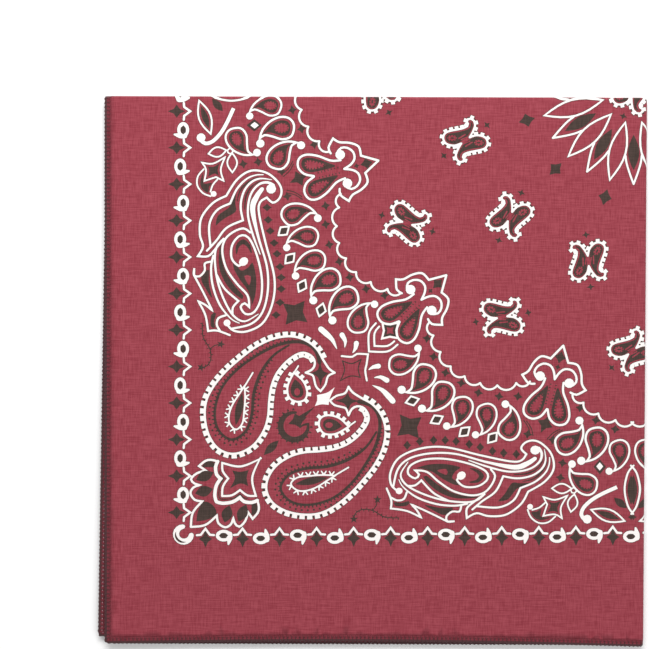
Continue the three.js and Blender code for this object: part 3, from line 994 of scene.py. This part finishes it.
def ticked_drop():
    """A small drop with a fringe of white bars, its body round 0 and its stalk to the right."""
    outline = curve([
        9.1 + 1.7j, 9.1 + 1.7j, 3.9 + 4.3j, 0 + 5j, -4 + 3.9j, -5.9 + 0j, -4.8 - 3.9j, -0.8 - 5.1j, 4.7 - 3.1j,
    ], True)
    marks = fill("black", [0.64 * z + 0.1j for z in outline])
    marks += spot("ground", -0.8 + 0j, 1.5, longer=1.3)
    marks += ticks("white", outline + outline[:1], -1, 2.9, 1.9, 2.1, 1.0)
    return marks + line("white", outline, 1.1, closed=True) + line("white", [9 + 1.6j, 12.6 - 0.6j], 0.9)


def thorn_curl():
    """The dark thorny curl between the two tall paisleys, open towards the field."""
    marks = line("black", arc(0, 7.0, 84, 366), (1.2, 2.9, 3.2, 2.9, 1.2))
    marks += ticks("black", arc(0, 8.1, 84, 366), -1, 2.5, 1.3, 1.3, 0.2)
    marks += star("black", 1.6 + 2.8j, 5.0, 4.0, turn=20, pinch=0.55)
    marks += line("black", [2 + 3.2j, 10 + 9.6j], (3.0, 0.3), round_ends=False)
    return marks + line("black", curve([7 + 1j, 4.6 + 0.6j, 2.8 - 0.8j]), (1.4, 0.6))


def twig():
    """A thin dark twig with bristles and two tufts."""
    stem = curve([10 + 109.3j, 10.5 + 102j, 13.9 + 95.9j, 14.3 + 90.4j, 12.3 + 87.2j, 9.6 + 86.4j])
    branch = curve([13.9 + 95.9j, 16.4 + 97.8j, 19.3 + 98.3j])
    marks = line("black", stem, 0.55) + line("black", branch, 0.5)
    marks += ticks("black", stem, 1, 2.6, 0.5, 1.1) + ticks("black", stem, -1, 2.6, 0.5, 1.1, phase=0.1)
    for at in (19.5 + 98.4j, 9.4 + 86.4j):
        marks += star("black", at, 2.3, pinch=0.4, points=5)
    return marks


def teardrop(at, tip, flip):
    """A white-lined drop hooked over at its tip, with a dark serrated ring and a plain heart."""
    outline = curve([
        -5.3 + 0j, -4 + 3.6j, -0.2 + 5.2j, 4.6 + 4.4j, 8.8 + 1.6j, 11.2 - 2j, 11.2 - 2j, 8.6 - 1j,
        5.2 - 2.6j, 1.2 - 4.9j, -3 - 4.4j,
    ], True)
    marks = fill("black", curve([
        -3.7 + 0j, -2.8 + 2.5j, -0.1 + 3.7j, 3.6 + 3.2j, 7 + 1.3j, 9.8 - 0.8j, 9.8 - 0.8j, 6.8 - 0.1j,
        4.2 - 1.4j, 0.8 - 3.5j, -2.1 - 3.1j,
    ], True))
    heart = spot("ground", 0.4 + 0.2j, 2.3, longer=1.45, turn=12, corners=14)
    ring = heart[0][1]
    marks += heart + ticks("black", ring + ring[:1], 1, 1.4, 0.6, 0.55)
    marks += line("white", outline, 1.1, closed=True)
    marks += spot("edge", 11.4 - 4.2j, 2.1) + spot("white", 11.4 - 4.2j, 1.9)
    turn = math.degrees(cmath.phase(tip - at)) + (-20.2 if flip else 20.2)
    return placed(marks, at, turn, abs(tip - at) / 12.15, flip)


def double_paisley(turn):
    """Two fringed commas lying head to tail in one closed line, with a small star beside each."""
    marks = []
    for half_turn in (0, 180):
        comma = curve([
            -2.5 + 0.8j, -2.5 + 0.8j, -5.3 + 2.8j, -6.9 + 5.7j, -6.9 + 8.2j, -5.2 + 10.2j, -2.8 + 10.5j,
            -0.5 + 9.1j, 1.9 + 6.9j, 4.4 + 4.7j, 6.5 + 3.6j, 7.7 + 4.0j, 8.3 + 5.2j, 9.6 + 5.4j,
            10.8 + 4.2j, 10.7 + 2.3j, 9.5 + 0.8j, 7.6 + 0j, 4.9 - 0.6j, 2.5 - 0.8j,
        ])
        part = fill("black", curve([
            -4.6 + 3.2j, -5.8 + 6.0j, -5.7 + 8.0j, -4.4 + 9.2j, -2.6 + 9.2j, -0.6 + 7.4j, 2.0 + 4.9j,
            5.4 + 2.4j, 7.6 + 2.2j, 8.8 + 3.0j, 9.2 + 4.2j, 9.4 + 2.6j, 8.2 + 1.2j, 4.0 + 0.5j,
            0.8 + 0.6j, -1.8 + 1.6j,
        ], True))
        heart = spot("ground", -3.0 + 6.2j, 1.6, longer=1.55, turn=-55, corners=14)
        ring = heart[0][1]
        part += heart + ticks("black", ring + ring[:1], 1, 1.5, 0.6, 0.6)
        part += spot("black", -2.9 + 6.1j, 0.45, longer=2.4, turn=-55, corners=8)
        part += line("ground", [-1.2 + 3.3j, 2.4 + 1.9j], 0.7) + line("ground", [-1.0 + 2.0j, 1.6 + 0.5j], 0.6)
        part += ticks("black", comma[2:-1], 1, 2.8, 1.0, 1.25, 0.9, phase=0.0)
        part += ticks("white", comma[2:-1], 1, 2.8, 1.85, 1.7, 1.05)
        part += line("white", comma, 1.15)
        part += star("black", 13.5 * turned(162), 2.2, 1.8, turn=75, pinch=0.42)
        marks += placed(part, turn=turn + half_turn)
    return marks


def bell():
    """A two-lobed bell with curled lips, a pointed hood over it and a dark square in its tip.
    Its axis runs to the right, from between its lobes to its tip."""
    marks = star("black", 34.8 + 0j, 3.3, 2.8, pinch=0.62) + star("black", 29.6 + 0j, 1.5, pinch=0.5)
    for flip in (False, True):
        lobe = curve([
            7.2 + 0.2j, 7.2 + 0.2j, 2.8 + 2.4j, 0.6 + 6.4j, 2.0 + 10.6j, 6.0 + 11.8j, 11.6 + 9.8j,
            17.6 + 5.8j, 22.4 + 4.8j,
        ])
        lip = curve([
            22.0 + 9.4j, 24.2 + 10.9j, 27.2 + 10.2j, 29.6 + 7.4j, 29.4 + 3.8j, 26.8 + 1.4j, 23.1 + 0j,
        ])
        hood = curve([
            18.4 + 9.4j, 18.4 + 9.4j, 18.0 + 12.6j, 21.4 + 16.6j, 21.4 + 16.6j, 24 + 14j, 29 + 12.4j,
            33 + 9.4j, 33 + 4.6j, 33 + 4.6j, 41 + 0j,
        ])
        part = fill("black", curve([
            5.4 + 2.6j, 2.6 + 5.6j, 3.2 + 9.2j, 6.4 + 10.2j, 11.2 + 8.2j, 16.6 + 4.6j, 19 + 2.4j, 12 + 2.0j,
        ], True))
        heart = curve([6.0 + 3.9j, 4.1 + 6.0j, 4.6 + 8.2j, 7.0 + 8.7j, 11.2 + 6.6j, 14.4 + 4.3j, 11.6 + 3.4j], True)
        part += fill("ground", heart) + ticks("black", heart + heart[:1], -1, 1.6, 0.65, 0.8)
        part += ticks("black", [9 + 0.9j, 21 + 1.0j], 1, 1.7, 0.6, 0.9)
        part += line("white", lobe, 1.25) + line("white", lip, 1.25) + line("white", hood, 1.25)
        part += spot("edge", 22.9 + 7.6j, 2.7) + spot("white", 22.9 + 7.6j, 2.5)
        marks += [(ink, [z.conjugate() for z in outline]) for ink, outline in part] if flip else part
    return marks


def bell_foot():
    """A white-edged pointed square behind the bell, with two nested brackets."""
    marks = star("white", 0.6 + 0j, 6.8, 6.4, pinch=0.56) + star("black", 0.6 + 0j, 4.9, 4.6, pinch=0.55)
    marks += star("ground", 0.6 + 0j, 2.6, pinch=0.5)
    for reach, spread in ((10.6, 5.4), (14.6, 7.8)):
        bend = complex(0.85 * spread - reach, 0.85 * spread)
        bracket = [complex(-1.8, spread), bend, -reach + 0j, -reach + 0j, bend.conjugate(), complex(-1.8, -spread)]
        marks += line("white", curve(bracket), 1.1)
    return marks


def side_bell():
    """A bell with a dark star behind it and thin dark ripples beside the star."""
    marks = star("black", -0.4 + 0.8j, 5.2, 4.2, turn=12, pinch=0.48)
    for side in (1, -1):
        for more in (0, 1.5):
            ripple = [-1.2 + (8.8 + more) * 1j * side, -4.2 + (5.6 + more) * 1j * side, -8 + (3.6 + more) * 1j * side]
            marks += line("black", curve(ripple), 0.5)
    return marks + bell()


def scallops(cusps):
    """A white line of round arcs hung between cusps, bulging to the right of its run."""
    marks = []
    for here, beyond in zip(cusps, cusps[1:]):
        marks += line("white", arched(here, beyond, 0.31 * abs(beyond - here)), 1.15)
    return marks


def framed_diamond(at, turn):
    marks = star("edge", 0, 4.6, 3.3, pinch=0.74) + star("white", 0, 4.2, 3.0, pinch=0.74)
    return placed(marks + star("black", 0, 2.7, 1.9, pinch=0.74), at, turn)


def centre_flower():
    """Half of the big flower in the middle of the cloth: twelve open petals, twelve dark ones
    between them and a ring of stars, round a double paisley."""
    marks = []
    for k in range(12):
        dark = fill("black", lens(22.0 + 0j, 40.4 + 0j, 2.9))
        for side in (1, -1):
            dark += line("white", curve([32.9 + 4.1j * side, 36.7 + 3.6j * side, 42.3 + 1.9j * side, 47.5 + 0j]), 1.1)
        marks += placed(dark, turn=30 * k)
        petal = line("white", lens(16.3 + 0j, 46.9 + 0j, 4.2), 1.1, closed=True)
        marks += placed(petal + star("black", 56.2 + 0j, 4.3, 3.5, pinch=0.6), turn=30 * k + 15)
    return marks + double_paisley(85)


def sprig():
    """The small bouquet beside the middle of each side, and half of the leaf on the middle line."""
    marks = fill("black", lens(9.3 + 221.4j, 13.6 + 209.4j, 1.6))
    marks += fill("black", lens(16.6 + 228.5j, 32.3 + 228.5j, 1.9)) + star("black", 10.4 + 228.5j, 1.7, pinch=0.5)
    marks += line("white", lens(8.4 + 224j, 14.3 + 206.9j, 3.1), 1.0, closed=True)
    marks += fill("black", lens(15.0 + 225j, 20.4 + 218.6j, 1.9))
    marks += spot("edge", 9.4 + 204.9j, 2.5) + spot("white", 9.4 + 204.9j, 2.3)
    stem = curve([9.6 + 203.2j, 11.8 + 201.9j, 15.4 + 203.1j, 19.4 + 207.3j, 22.6 + 212.8j, 25.9 + 220.1j])
    marks += line("white", stem, 2.1, round_ends=False)
    marks += teardrop(27.4 + 204.6j, 37.8 + 197.2j, True)
    marks += line("white", lens(22.2 + 198.4j, 13.2 + 196.6j, 2.5), 0.95, closed=True)
    marks += line("white", lens(25.1 + 197j, 25.3 + 187j, 2.5), 0.95, closed=True)
    marks += line("white", arc(24.2 + 198j, 1.4, 0, 324), 0.8, closed=True)
    marks += line("white", curve([
        9.8 + 192.1j, 9.8 + 192.1j, 15.4 + 191.5j, 21.6 + 194.9j, 21.6 + 194.9j, 19.4 + 188.5j, 20.9 + 182.6j,
        20.9 + 182.6j, 17 + 184.6j, 17 + 184.6j, 11.1 + 182.6j, 11.1 + 182.6j, 11.9 + 188.5j,
    ], True), 0.95, closed=True)
    marks += fill("black", curve([
        12.6 + 190.2j, 12.6 + 190.2j, 15.6 + 189.8j, 19 + 191.8j, 19 + 191.8j, 17.8 + 188.2j, 18.6 + 185j,
        18.6 + 185j, 16.4 + 186.4j, 13 + 184.8j, 13 + 184.8j, 13.6 + 188j,
    ], True))
    marks += fill("black", curve([
        10.4 + 186.6j, 9 + 182j, 9.8 + 178.6j, 13 + 176.4j, 13.4 + 179.4j, 14.8 + 181.6j, 10.6 + 181.4j,
    ], True))
    marks += line("white", curve([10.8 + 188.7j, 7.8 + 185j, 7.5 + 180.3j, 10.4 + 176.3j, 14.3 + 174.7j]), 0.95)
    marks += line("white", curve([14.2 + 177j, 15.4 + 180.6j, 17.8 + 183.4j]), 0.95)
    marks += spot("white", 15.8 + 175.9j, 1.5)
    return marks + line("white", curve([12 + 228.4j, 16.4 + 225.6j, 24.8 + 224j, 33 + 225.6j, 37 + 228.6j]), 1.1)


def long_paisley():
    """The long nested paisley of each side, its lines running down one flank and round the foot."""
    marks = fill("black", curve([
        27.3 + 177.4j, 27.3 + 177.4j, 26.8 + 171j, 27 + 166.8j, 21 + 163j, 16.8 + 159.4j, 16.8 + 159.4j,
        18 + 164.6j, 23.8 + 169.2j, 25.4 + 173.6j,
    ], True))
    marks += fill("black", curve([
        19.2 + 150j, 18.4 + 143j, 19 + 136.4j, 21.8 + 130j, 25.8 + 125j, 30.4 + 121.6j, 31 + 123.2j,
        26.4 + 128.8j, 22 + 135.6j, 19.8 + 142.6j,
    ], True))
    marks += fill("black", curve([
        26.2 + 141.6j, 26 + 137.6j, 29.2 + 131.6j, 33 + 126.4j, 35 + 120.4j, 35 + 118j, 37 + 124j,
        37.4 + 132.4j, 35.6 + 140.4j, 33.6 + 138.2j, 29.6 + 136.4j,
    ], True))
    marks += fill("ground", curve([31.4 + 133.6j, 34.6 + 133.4j, 33.8 + 128.8j], True))
    marks += line("black", curve([27.4 + 145j, 28 + 149j, 30.8 + 151.2j, 33.6 + 149j, 35 + 145.4j]), (0.5, 1.8, 2.6, 1.8, 0.5))
    marks += fill("black", curve([9.4 + 132.4j, 13.2 + 136.8j, 13.4 + 129.6j, 15 + 122.4j, 12.4 + 126j], True))
    marks += fill("black", curve([14.6 + 113.6j, 17 + 114.4j, 16 + 110j, 16.6 + 107j, 14.4 + 107.6j], True))
    marks += line("black", curve([27.7 + 172j, 29.4 + 177.8j, 33.8 + 182.4j, 38.6 + 184.6j]), (0.4, 1.0, 0.4))
    marks += line("black", curve([31.6 + 168j, 32.2 + 174.4j, 35 + 179.6j, 39.6 + 182.6j]), (0.6, 1.0, 0.4))
    outer = curve([
        22.2 + 174.9j, 22.2 + 174.9j, 27.1 + 182.6j, 32.5 + 187j, 37.6 + 188j, 43.8 + 186.2j, 48.9 + 181.4j,
        50.3 + 177j, 48.9 + 173.2j, 45.8 + 171.4j, 42.8 + 174j, 42.8 + 174j, 39.4 + 171.6j, 38.8 + 166j,
        42.2 + 150.6j, 46.6 + 133j, 45.8 + 120j, 40.8 + 109.4j, 32.6 + 105j, 26 + 105.4j, 22.6 + 108.6j,
    ])
    marks += line("white", outer, 1.2) + spot("white", 22.6 + 109.4j, 1.8)
    second = curve([
        40.4 + 178.4j, 37.6 + 174.4j, 35.6 + 168j, 38.4 + 154j, 42.8 + 138.6j, 43.3 + 126j, 40.6 + 115j,
        34.8 + 108.9j, 25 + 106.4j,
    ])
    marks += line("white", second, (2.2, 3.2, 2.6, 1.6) + 8 * (1.2,))
    marks += line("white", curve([
        46.2 + 180.4j, 43.4 + 181.8j, 39.5 + 181.2j, 36 + 178j, 34 + 173.6j, 33.2 + 168j, 33.6 + 162.6j,
        36 + 154j, 39.4 + 144.8j,
    ]), (1.6, 1.2, 1.2, 1.2, 1.2, 0.6))
    loop = curve([
        34.4 + 156j, 31 + 158.1j, 26 + 156.4j, 21.6 + 152.4j, 20.2 + 146j, 22.4 + 137.2j, 27.6 + 129.6j,
        33 + 123.6j, 33.9 + 117.4j, 33.9 + 117.4j, 31.6 + 119.5j, 29.5 + 117.6j, 32 + 114j, 36.4 + 115j,
        39.8 + 122j, 40.2 + 133j, 37.4 + 145.4j, 33.4 + 153.4j, 29 + 154.2j, 25.2 + 149.4j, 25 + 142.6j,
        28.6 + 138.8j, 31 + 140.6j,
    ])
    marks += line("white", loop, 1.2) + spot("white", 31 + 141j, 2.1, longer=1.2, turn=40)
    left = curve([
        20.9 + 152.8j, 17.4 + 148.6j, 16.4 + 142j, 17.8 + 131j, 21.4 + 120.6j, 26 + 113j, 31.6 + 110.2j, 38.6 + 114j,
    ])
    marks += line("white", left, (1.2, 1.2, 1.2, 1.2, 1.2, 0.5))
    marks += line("white", curve([17.2 + 134.4j, 21.4 + 127j, 28.4 + 120.7j, 28.4 + 120.7j, 25.6 + 117.4j, 25.4 + 113.6j]), 1.2)
    marks += line("white", curve([15.6 + 144j, 14.5 + 137.6j, 15.4 + 128.4j, 19 + 118.6j, 24.6 + 111.6j, 29 + 109.2j]), (1.2, 1.2, 1.2, 0.5))
    marks += line("white", curve([
        22.2 + 174.9j, 15.4 + 171.2j, 9.6 + 163.6j, 8.8 + 155j, 10.4 + 148.8j, 7.8 + 143.8j, 7.8 + 143.8j,
        13 + 143.8j, 16.6 + 147.4j, 20.9 + 152.8j,
    ]), 1.2)
    marks += line("white", curve([
        41 + 185.8j, 37.2 + 185.6j, 32.5 + 183.6j, 27.6 + 178.4j, 24.2 + 171j, 24.2 + 171j, 17.4 + 167.4j,
        13.6 + 160j, 14.2 + 149j,
    ]), (0.6, 1.2, 1.2, 1.2, 1.2))
    marks += line("white", curve([
        12.4 + 146.6j, 17 + 151.6j, 22.4 + 158.4j, 30.7 + 162.3j, 30.7 + 162.3j, 29.6 + 168j, 29.9 + 173j,
        31.6 + 178j, 35 + 182j, 39.5 + 183.8j, 45.4 + 183.2j,
    ]), (1.2, 1.2, 1.2, 1.2, 1.2, 1.2, 0.4))
    spikes = curve([
        14.6 + 141j, 11.3 + 140j, 11.3 + 136.4j, 8.6 + 133.4j, 5.8 + 134j, 6 + 137.6j, 6 + 137.6j, 5.8 + 134j,
        5.8 + 134j, 10.4 + 125.4j, 15.2 + 115.6j, 15.2 + 115.6j, 12 + 118.4j, 8 + 120.6j, 8 + 120.6j,
        11.6 + 113.4j, 13 + 105.2j, 13 + 105.2j, 17.6 + 105.4j, 24 + 103.1j,
    ])
    marks += line("white", spikes, 1.15)
    marks += line("white", curve([21.9 + 113.3j, 18.2 + 111.8j, 17.4 + 108.4j, 19 + 105.4j]), 1.2)
    return marks + spot("edge", 45 + 178.5j, 2.7) + spot("white", 45 + 178.5j, 2.5)


# Where the motifs of one quarter of the print lie
DOUBLE_PAISLEYS = [
    (143.7 + 203.5j, 54), (114.1 + 160.7j, 0), (166.3 + 164.2j, 83), (206.1 + 141.4j, 113),
    (162.3 + 112.3j, 28), (98.7 + 229.9j, -45),
]
MIDDLE_PAISLEY = (228.5 + 94.8j, 57)
TEARDROPS = [
    (45 + 221.3j, 34.1 + 216.1j, True), (50.8 + 209.8j, 39.5 + 201.9j, True),
    (48.5 + 194.4j, 60.2 + 201j, False), (55.9 + 165.2j, 68.7 + 163.4j, False),
    (63.7 + 153.8j, 52.9 + 148.2j, True), (67.2 + 141.5j, 57.4 + 133.6j, True),
    (74.6 + 131.7j, 66.4 + 121j, True), (83.5 + 122.2j, 76.1 + 110.7j, True),
    (89.2 + 109.6j, 97.5 + 119j, False),
]
FRAMED_DIAMONDS = [(51.4 + 156.8j, 40), (54.5 + 142.6j, 48), (60.7 + 128.5j, 62), (70.4 + 116.1j, 74)]
DARK_DIAMONDS = [
    42.9 + 168.9j, 43.5 + 162.5j, 44.5 + 156.8j, 46.5 + 150.6j, 48 + 145j, 49.5 + 138.3j, 50.1 + 132.8j,
    50.1 + 126.9j, 49.5 + 119.9j, 47.5 + 113.5j,
]
SMALL_STARS = [
    38.4 + 192.4j, 30.8 + 191.3j, 50.2 + 187.5j, 72.7 + 169.8j, 72.7 + 160.2j, 74.6 + 149.7j, 79.6 + 141j,
    84.9 + 133j, 93.2 + 126.9j, 66.8 + 201.4j, 60.4 + 209.4j, 55.8 + 219.2j, 53.2 + 174.7j, 102.6 + 123.6j,
]
UPPER_SCALLOPS = [59.4 + 228.4j, 60.5 + 219.3j, 63.9 + 210.6j, 69.5 + 203.1j, 74.2 + 197.6j]
SIDE_SCALLOPS = [
    80.4 + 175.9j, 79.6 + 168.9j, 78.4 + 159.3j, 79.6 + 150.6j, 83.1 + 142.7j, 88.2 + 135.6j, 95.6 + 130.5j,
    104.1 + 126.9j, 110.7 + 124.6j,
]
WHITE_DRIPS = [
    ([70.3 + 106.2j, 73 + 103.8j, 76.1 + 100.6j, 78.4 + 95.9j], (3.2, 3.2, 2.0, 0.3)),
    ([81 + 103.2j, 82.7 + 99.8j, 82.3 + 96.7j], (3.0, 2.2, 0.3)),
    ([88.3 + 98.9j, 87.8 + 96.2j, 86.4 + 93.9j], (2.9, 2.0, 0.4)),
]


def side_marks():
    """What lies between the corner and the middle of the left side, up to the diagonal."""
    marks = sprig() + twig()
    for at in SMALL_STARS:
        marks += star("black", at, 2.4, 2.5, turn=10, pinch=0.5)
    for at, tip, flip in TEARDROPS:
        marks += teardrop(at, tip, flip)
    for at, turn in FRAMED_DIAMONDS:
        marks += framed_diamond(at, turn)
    for at in DARK_DIAMONDS:
        marks += star("black", at, 2.4, 2.0, pinch=0.66)
    marks += star("black", 57.2 + 114.6j, 7.9, turn=52, pinch=0.5)
    marks += placed(star("black", 0, 3.9, 3.2, pinch=0.7) + star("white", 0.2 + 0j, 2.1, 1.7, pinch=0.74), 36.4 + 211.3j)
    marks += scallops(UPPER_SCALLOPS) + scallops(SIDE_SCALLOPS)
    for run, widths in WHITE_DRIPS:
        marks += line("white", curve(run), widths)
    return marks


def corner_marks():
    """What lies on the diagonal, and in one half of the corner only."""
    marks = palmette() + corner_crescent()
    marks += placed(ticked_drop(), 58.2 + 74.6j, 90) + placed(ticked_drop(), 75.2 + 56.8j, 5, flip=True)
    marks += placed(thorn_curl(), 56.8 + 56.2j) + fill("black", lens(41.2 + 41.2j, 48.8 + 48.8j, 2.0, 0.05))
    marks += fill("white", curve([
        77.3 + 76.2j, 77.3 + 76.2j, 73.4 + 73.4j, 68.3 + 72.2j, 68.3 + 72.2j, 68.4 + 69.4j, 67.2 + 66.5j,
        67.2 + 66.5j, 70.6 + 67.4j, 74.2 + 67.1j, 74.2 + 67.1j, 74.8 + 70.6j,
    ], True))
    marks += line("white", curve([
        80.8 + 92.3j, 86.2 + 91.9j, 88.6 + 93.4j, 94.2 + 93.2j, 94.2 + 93.2j, 93.4 + 87.6j, 92.8 + 84.8j, 93.6 + 79.7j,
    ]), 1.1)
    marks += line("black", curve([
        81.2 + 89.8j, 81.2 + 89.8j, 86 + 88.4j, 90.7 + 90.6j, 90.7 + 90.6j, 89.2 + 85.8j, 90.3 + 81.3j,
        90.3 + 81.3j, 85.4 + 82j, 80.2 + 79.6j, 80.2 + 79.6j, 82.3 + 85j,
    ], True), 0.6, closed=True)
    return marks + placed(bell_foot() + bell(), 105 + 105j, 45)


def quarter_print():
    """The marks of the lower left quarter, and those that the vertical centre line shares."""
    marks = placed(chain(True), turn=0.28) + over_diagonal(chain(False), 0.7) + corner_marks()
    side, tall, hung = side_marks(), corner_boteh(), placed(side_bell(), 59.7 + 183.2j, 14)
    marks += side + over_diagonal(side, 0.6 - 1.2j) + tall + over_diagonal(tall, 0.6 - 0.8j)
    marks += hung + over_diagonal(hung, 0.3 - 1.8j)
    # The long paisley beside the bottom edge is a little slimmer, where the cloth drew in
    marks += long_paisley()
    slim = [(ink, [complex(45 - 0.94 * (45 - z.real), z.imag) for z in outline]) for ink, outline in long_paisley()]
    marks += over_diagonal(slim, 0.6 - 1.2j)
    for at, turn in DOUBLE_PAISLEYS:
        marks += placed(double_paisley(turn), at)
    return marks


PRINT_MIDDLE = 228.5 + 228.5j
PRINT_SCALE = (1.0075, 0.9925)  # the cloth was stretched a little one way before it was printed
TOP_PRINT_CORNER = 40.0 + 55.6j
BOTTOM_PRINT_CORNER = 57.5 + 55.6j


def panel_print(corner):
    """The marks on a folded panel, as s, t places, without those that lie past its folds."""
    quarter = quarter_print()
    across = [
        (ink, [2 * PRINT_MIDDLE.real - z.conjugate() for z in outline])
        for ink, outline in quarter if max(z.real for z in outline) > 210
    ]
    middle = placed(centre_flower(), PRINT_MIDDLE + 0.7) + placed(double_paisley(MIDDLE_PAISLEY[1]), MIDDLE_PAISLEY[0])
    middle += placed(chain_loop(True, True), CHAIN_PITCH * (CHAIN_LENGTH - 1 + CHAIN_LOOPS) - 0.8j)
    marks = []
    for ink, outline in quarter + across + middle:
        places = [
            (corner.real + z.real * PRINT_SCALE[0], corner.imag + z.imag * PRINT_SCALE[1]) for z in outline
        ]
        if min(s for s, t in places) < FOLDED_WIDTH + 3 and min(t for s, t in places) < FOLDED_HEIGHT + 3:
            marks.append((ink, places))
    return sorted(marks, key=lambda mark: mark[0] != "edge")


# The pieces
def dress():
    top = cloth_sheet("top_cloth", TOP, panel_print(TOP_PRINT_CORNER))
    bottom = cloth_sheet("bottom_cloth", BOTTOM, panel_print(BOTTOM_PRINT_CORNER))
    inner = inner_sheet("inner_cloth")
    for piece, node in ((top, "top_panel"), (bottom, "bottom_panel"), (inner, "hidden_layers")):
        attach(piece, "root")
        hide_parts(node)
    for name, layer in (("top", TOP), ("second", SECOND), ("third", THIRD), ("bottom", BOTTOM)):
        piece = hem(name + "_hem_band", layer)
        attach(piece, "root")
        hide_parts(name + "_hem")


dress()


# Floor and light
def pale_floor():
    """A painted studio table: matt and nearly white, with the faintest mottle."""
    material = new_material("matt_white_painted_board")
    tree = material.node_tree
    place = add_node(tree, "ShaderNodeTexCoord")
    mottle = add_node(tree, "ShaderNodeTexNoise", {"Vector": (place, "Object"), "Scale": 6.0})
    colour = add_node(
        tree, "ShaderNodeMix",
        {"Factor": (mottle, "Fac"), 6: linear("#fbfbfb"), 7: linear("#ffffff")}, data_type="RGBA",
    )
    surface = add_node(
        tree, "ShaderNodeBsdfPrincipled", {"Base Color": (colour, 2), "Roughness": 0.9},
    )
    add_node(tree, "ShaderNodeOutputMaterial", {"Surface": (surface, "BSDF")})
    half = 1.6
    corners = [(-half, -half, 0), (half, -half, 0), (half, half, 0), (-half, half, 0)]
    mesh_object("floor", corners, [(0, 1, 2, 3)], [material])


def soft_light(name, place, size, power):
    data = bpy.data.lights.new(name, "AREA")
    data.shape = "RECTANGLE"
    data.size, data.size_y = size
    data.energy = power
    light = bpy.data.objects.new(name, data)
    light.location = place
    light.rotation_euler = (-Vector(place)).to_track_quat("-Z", "Y").to_euler()
    bpy.context.scene.collection.objects.link(light)


def studio():
    pale_floor()
    world = bpy.data.worlds.new("studio")
    world.use_nodes = True
    world.node_tree.nodes["Background"].inputs["Color"].default_value = (1, 1, 1, 1)
    world.node_tree.nodes["Background"].inputs["Strength"].default_value = 0.5
    bpy.context.scene.world = world
    soft_light("far_softbox", (-0.1, 0.75, 0.8), (0.9, 0.5), 10.5)
    soft_light("near_softbox", (0.75, -0.3, 1.0), (0.9, 0.9), 3.5)
    bpy.context.scene.view_settings.view_transform = "Standard"


studio()
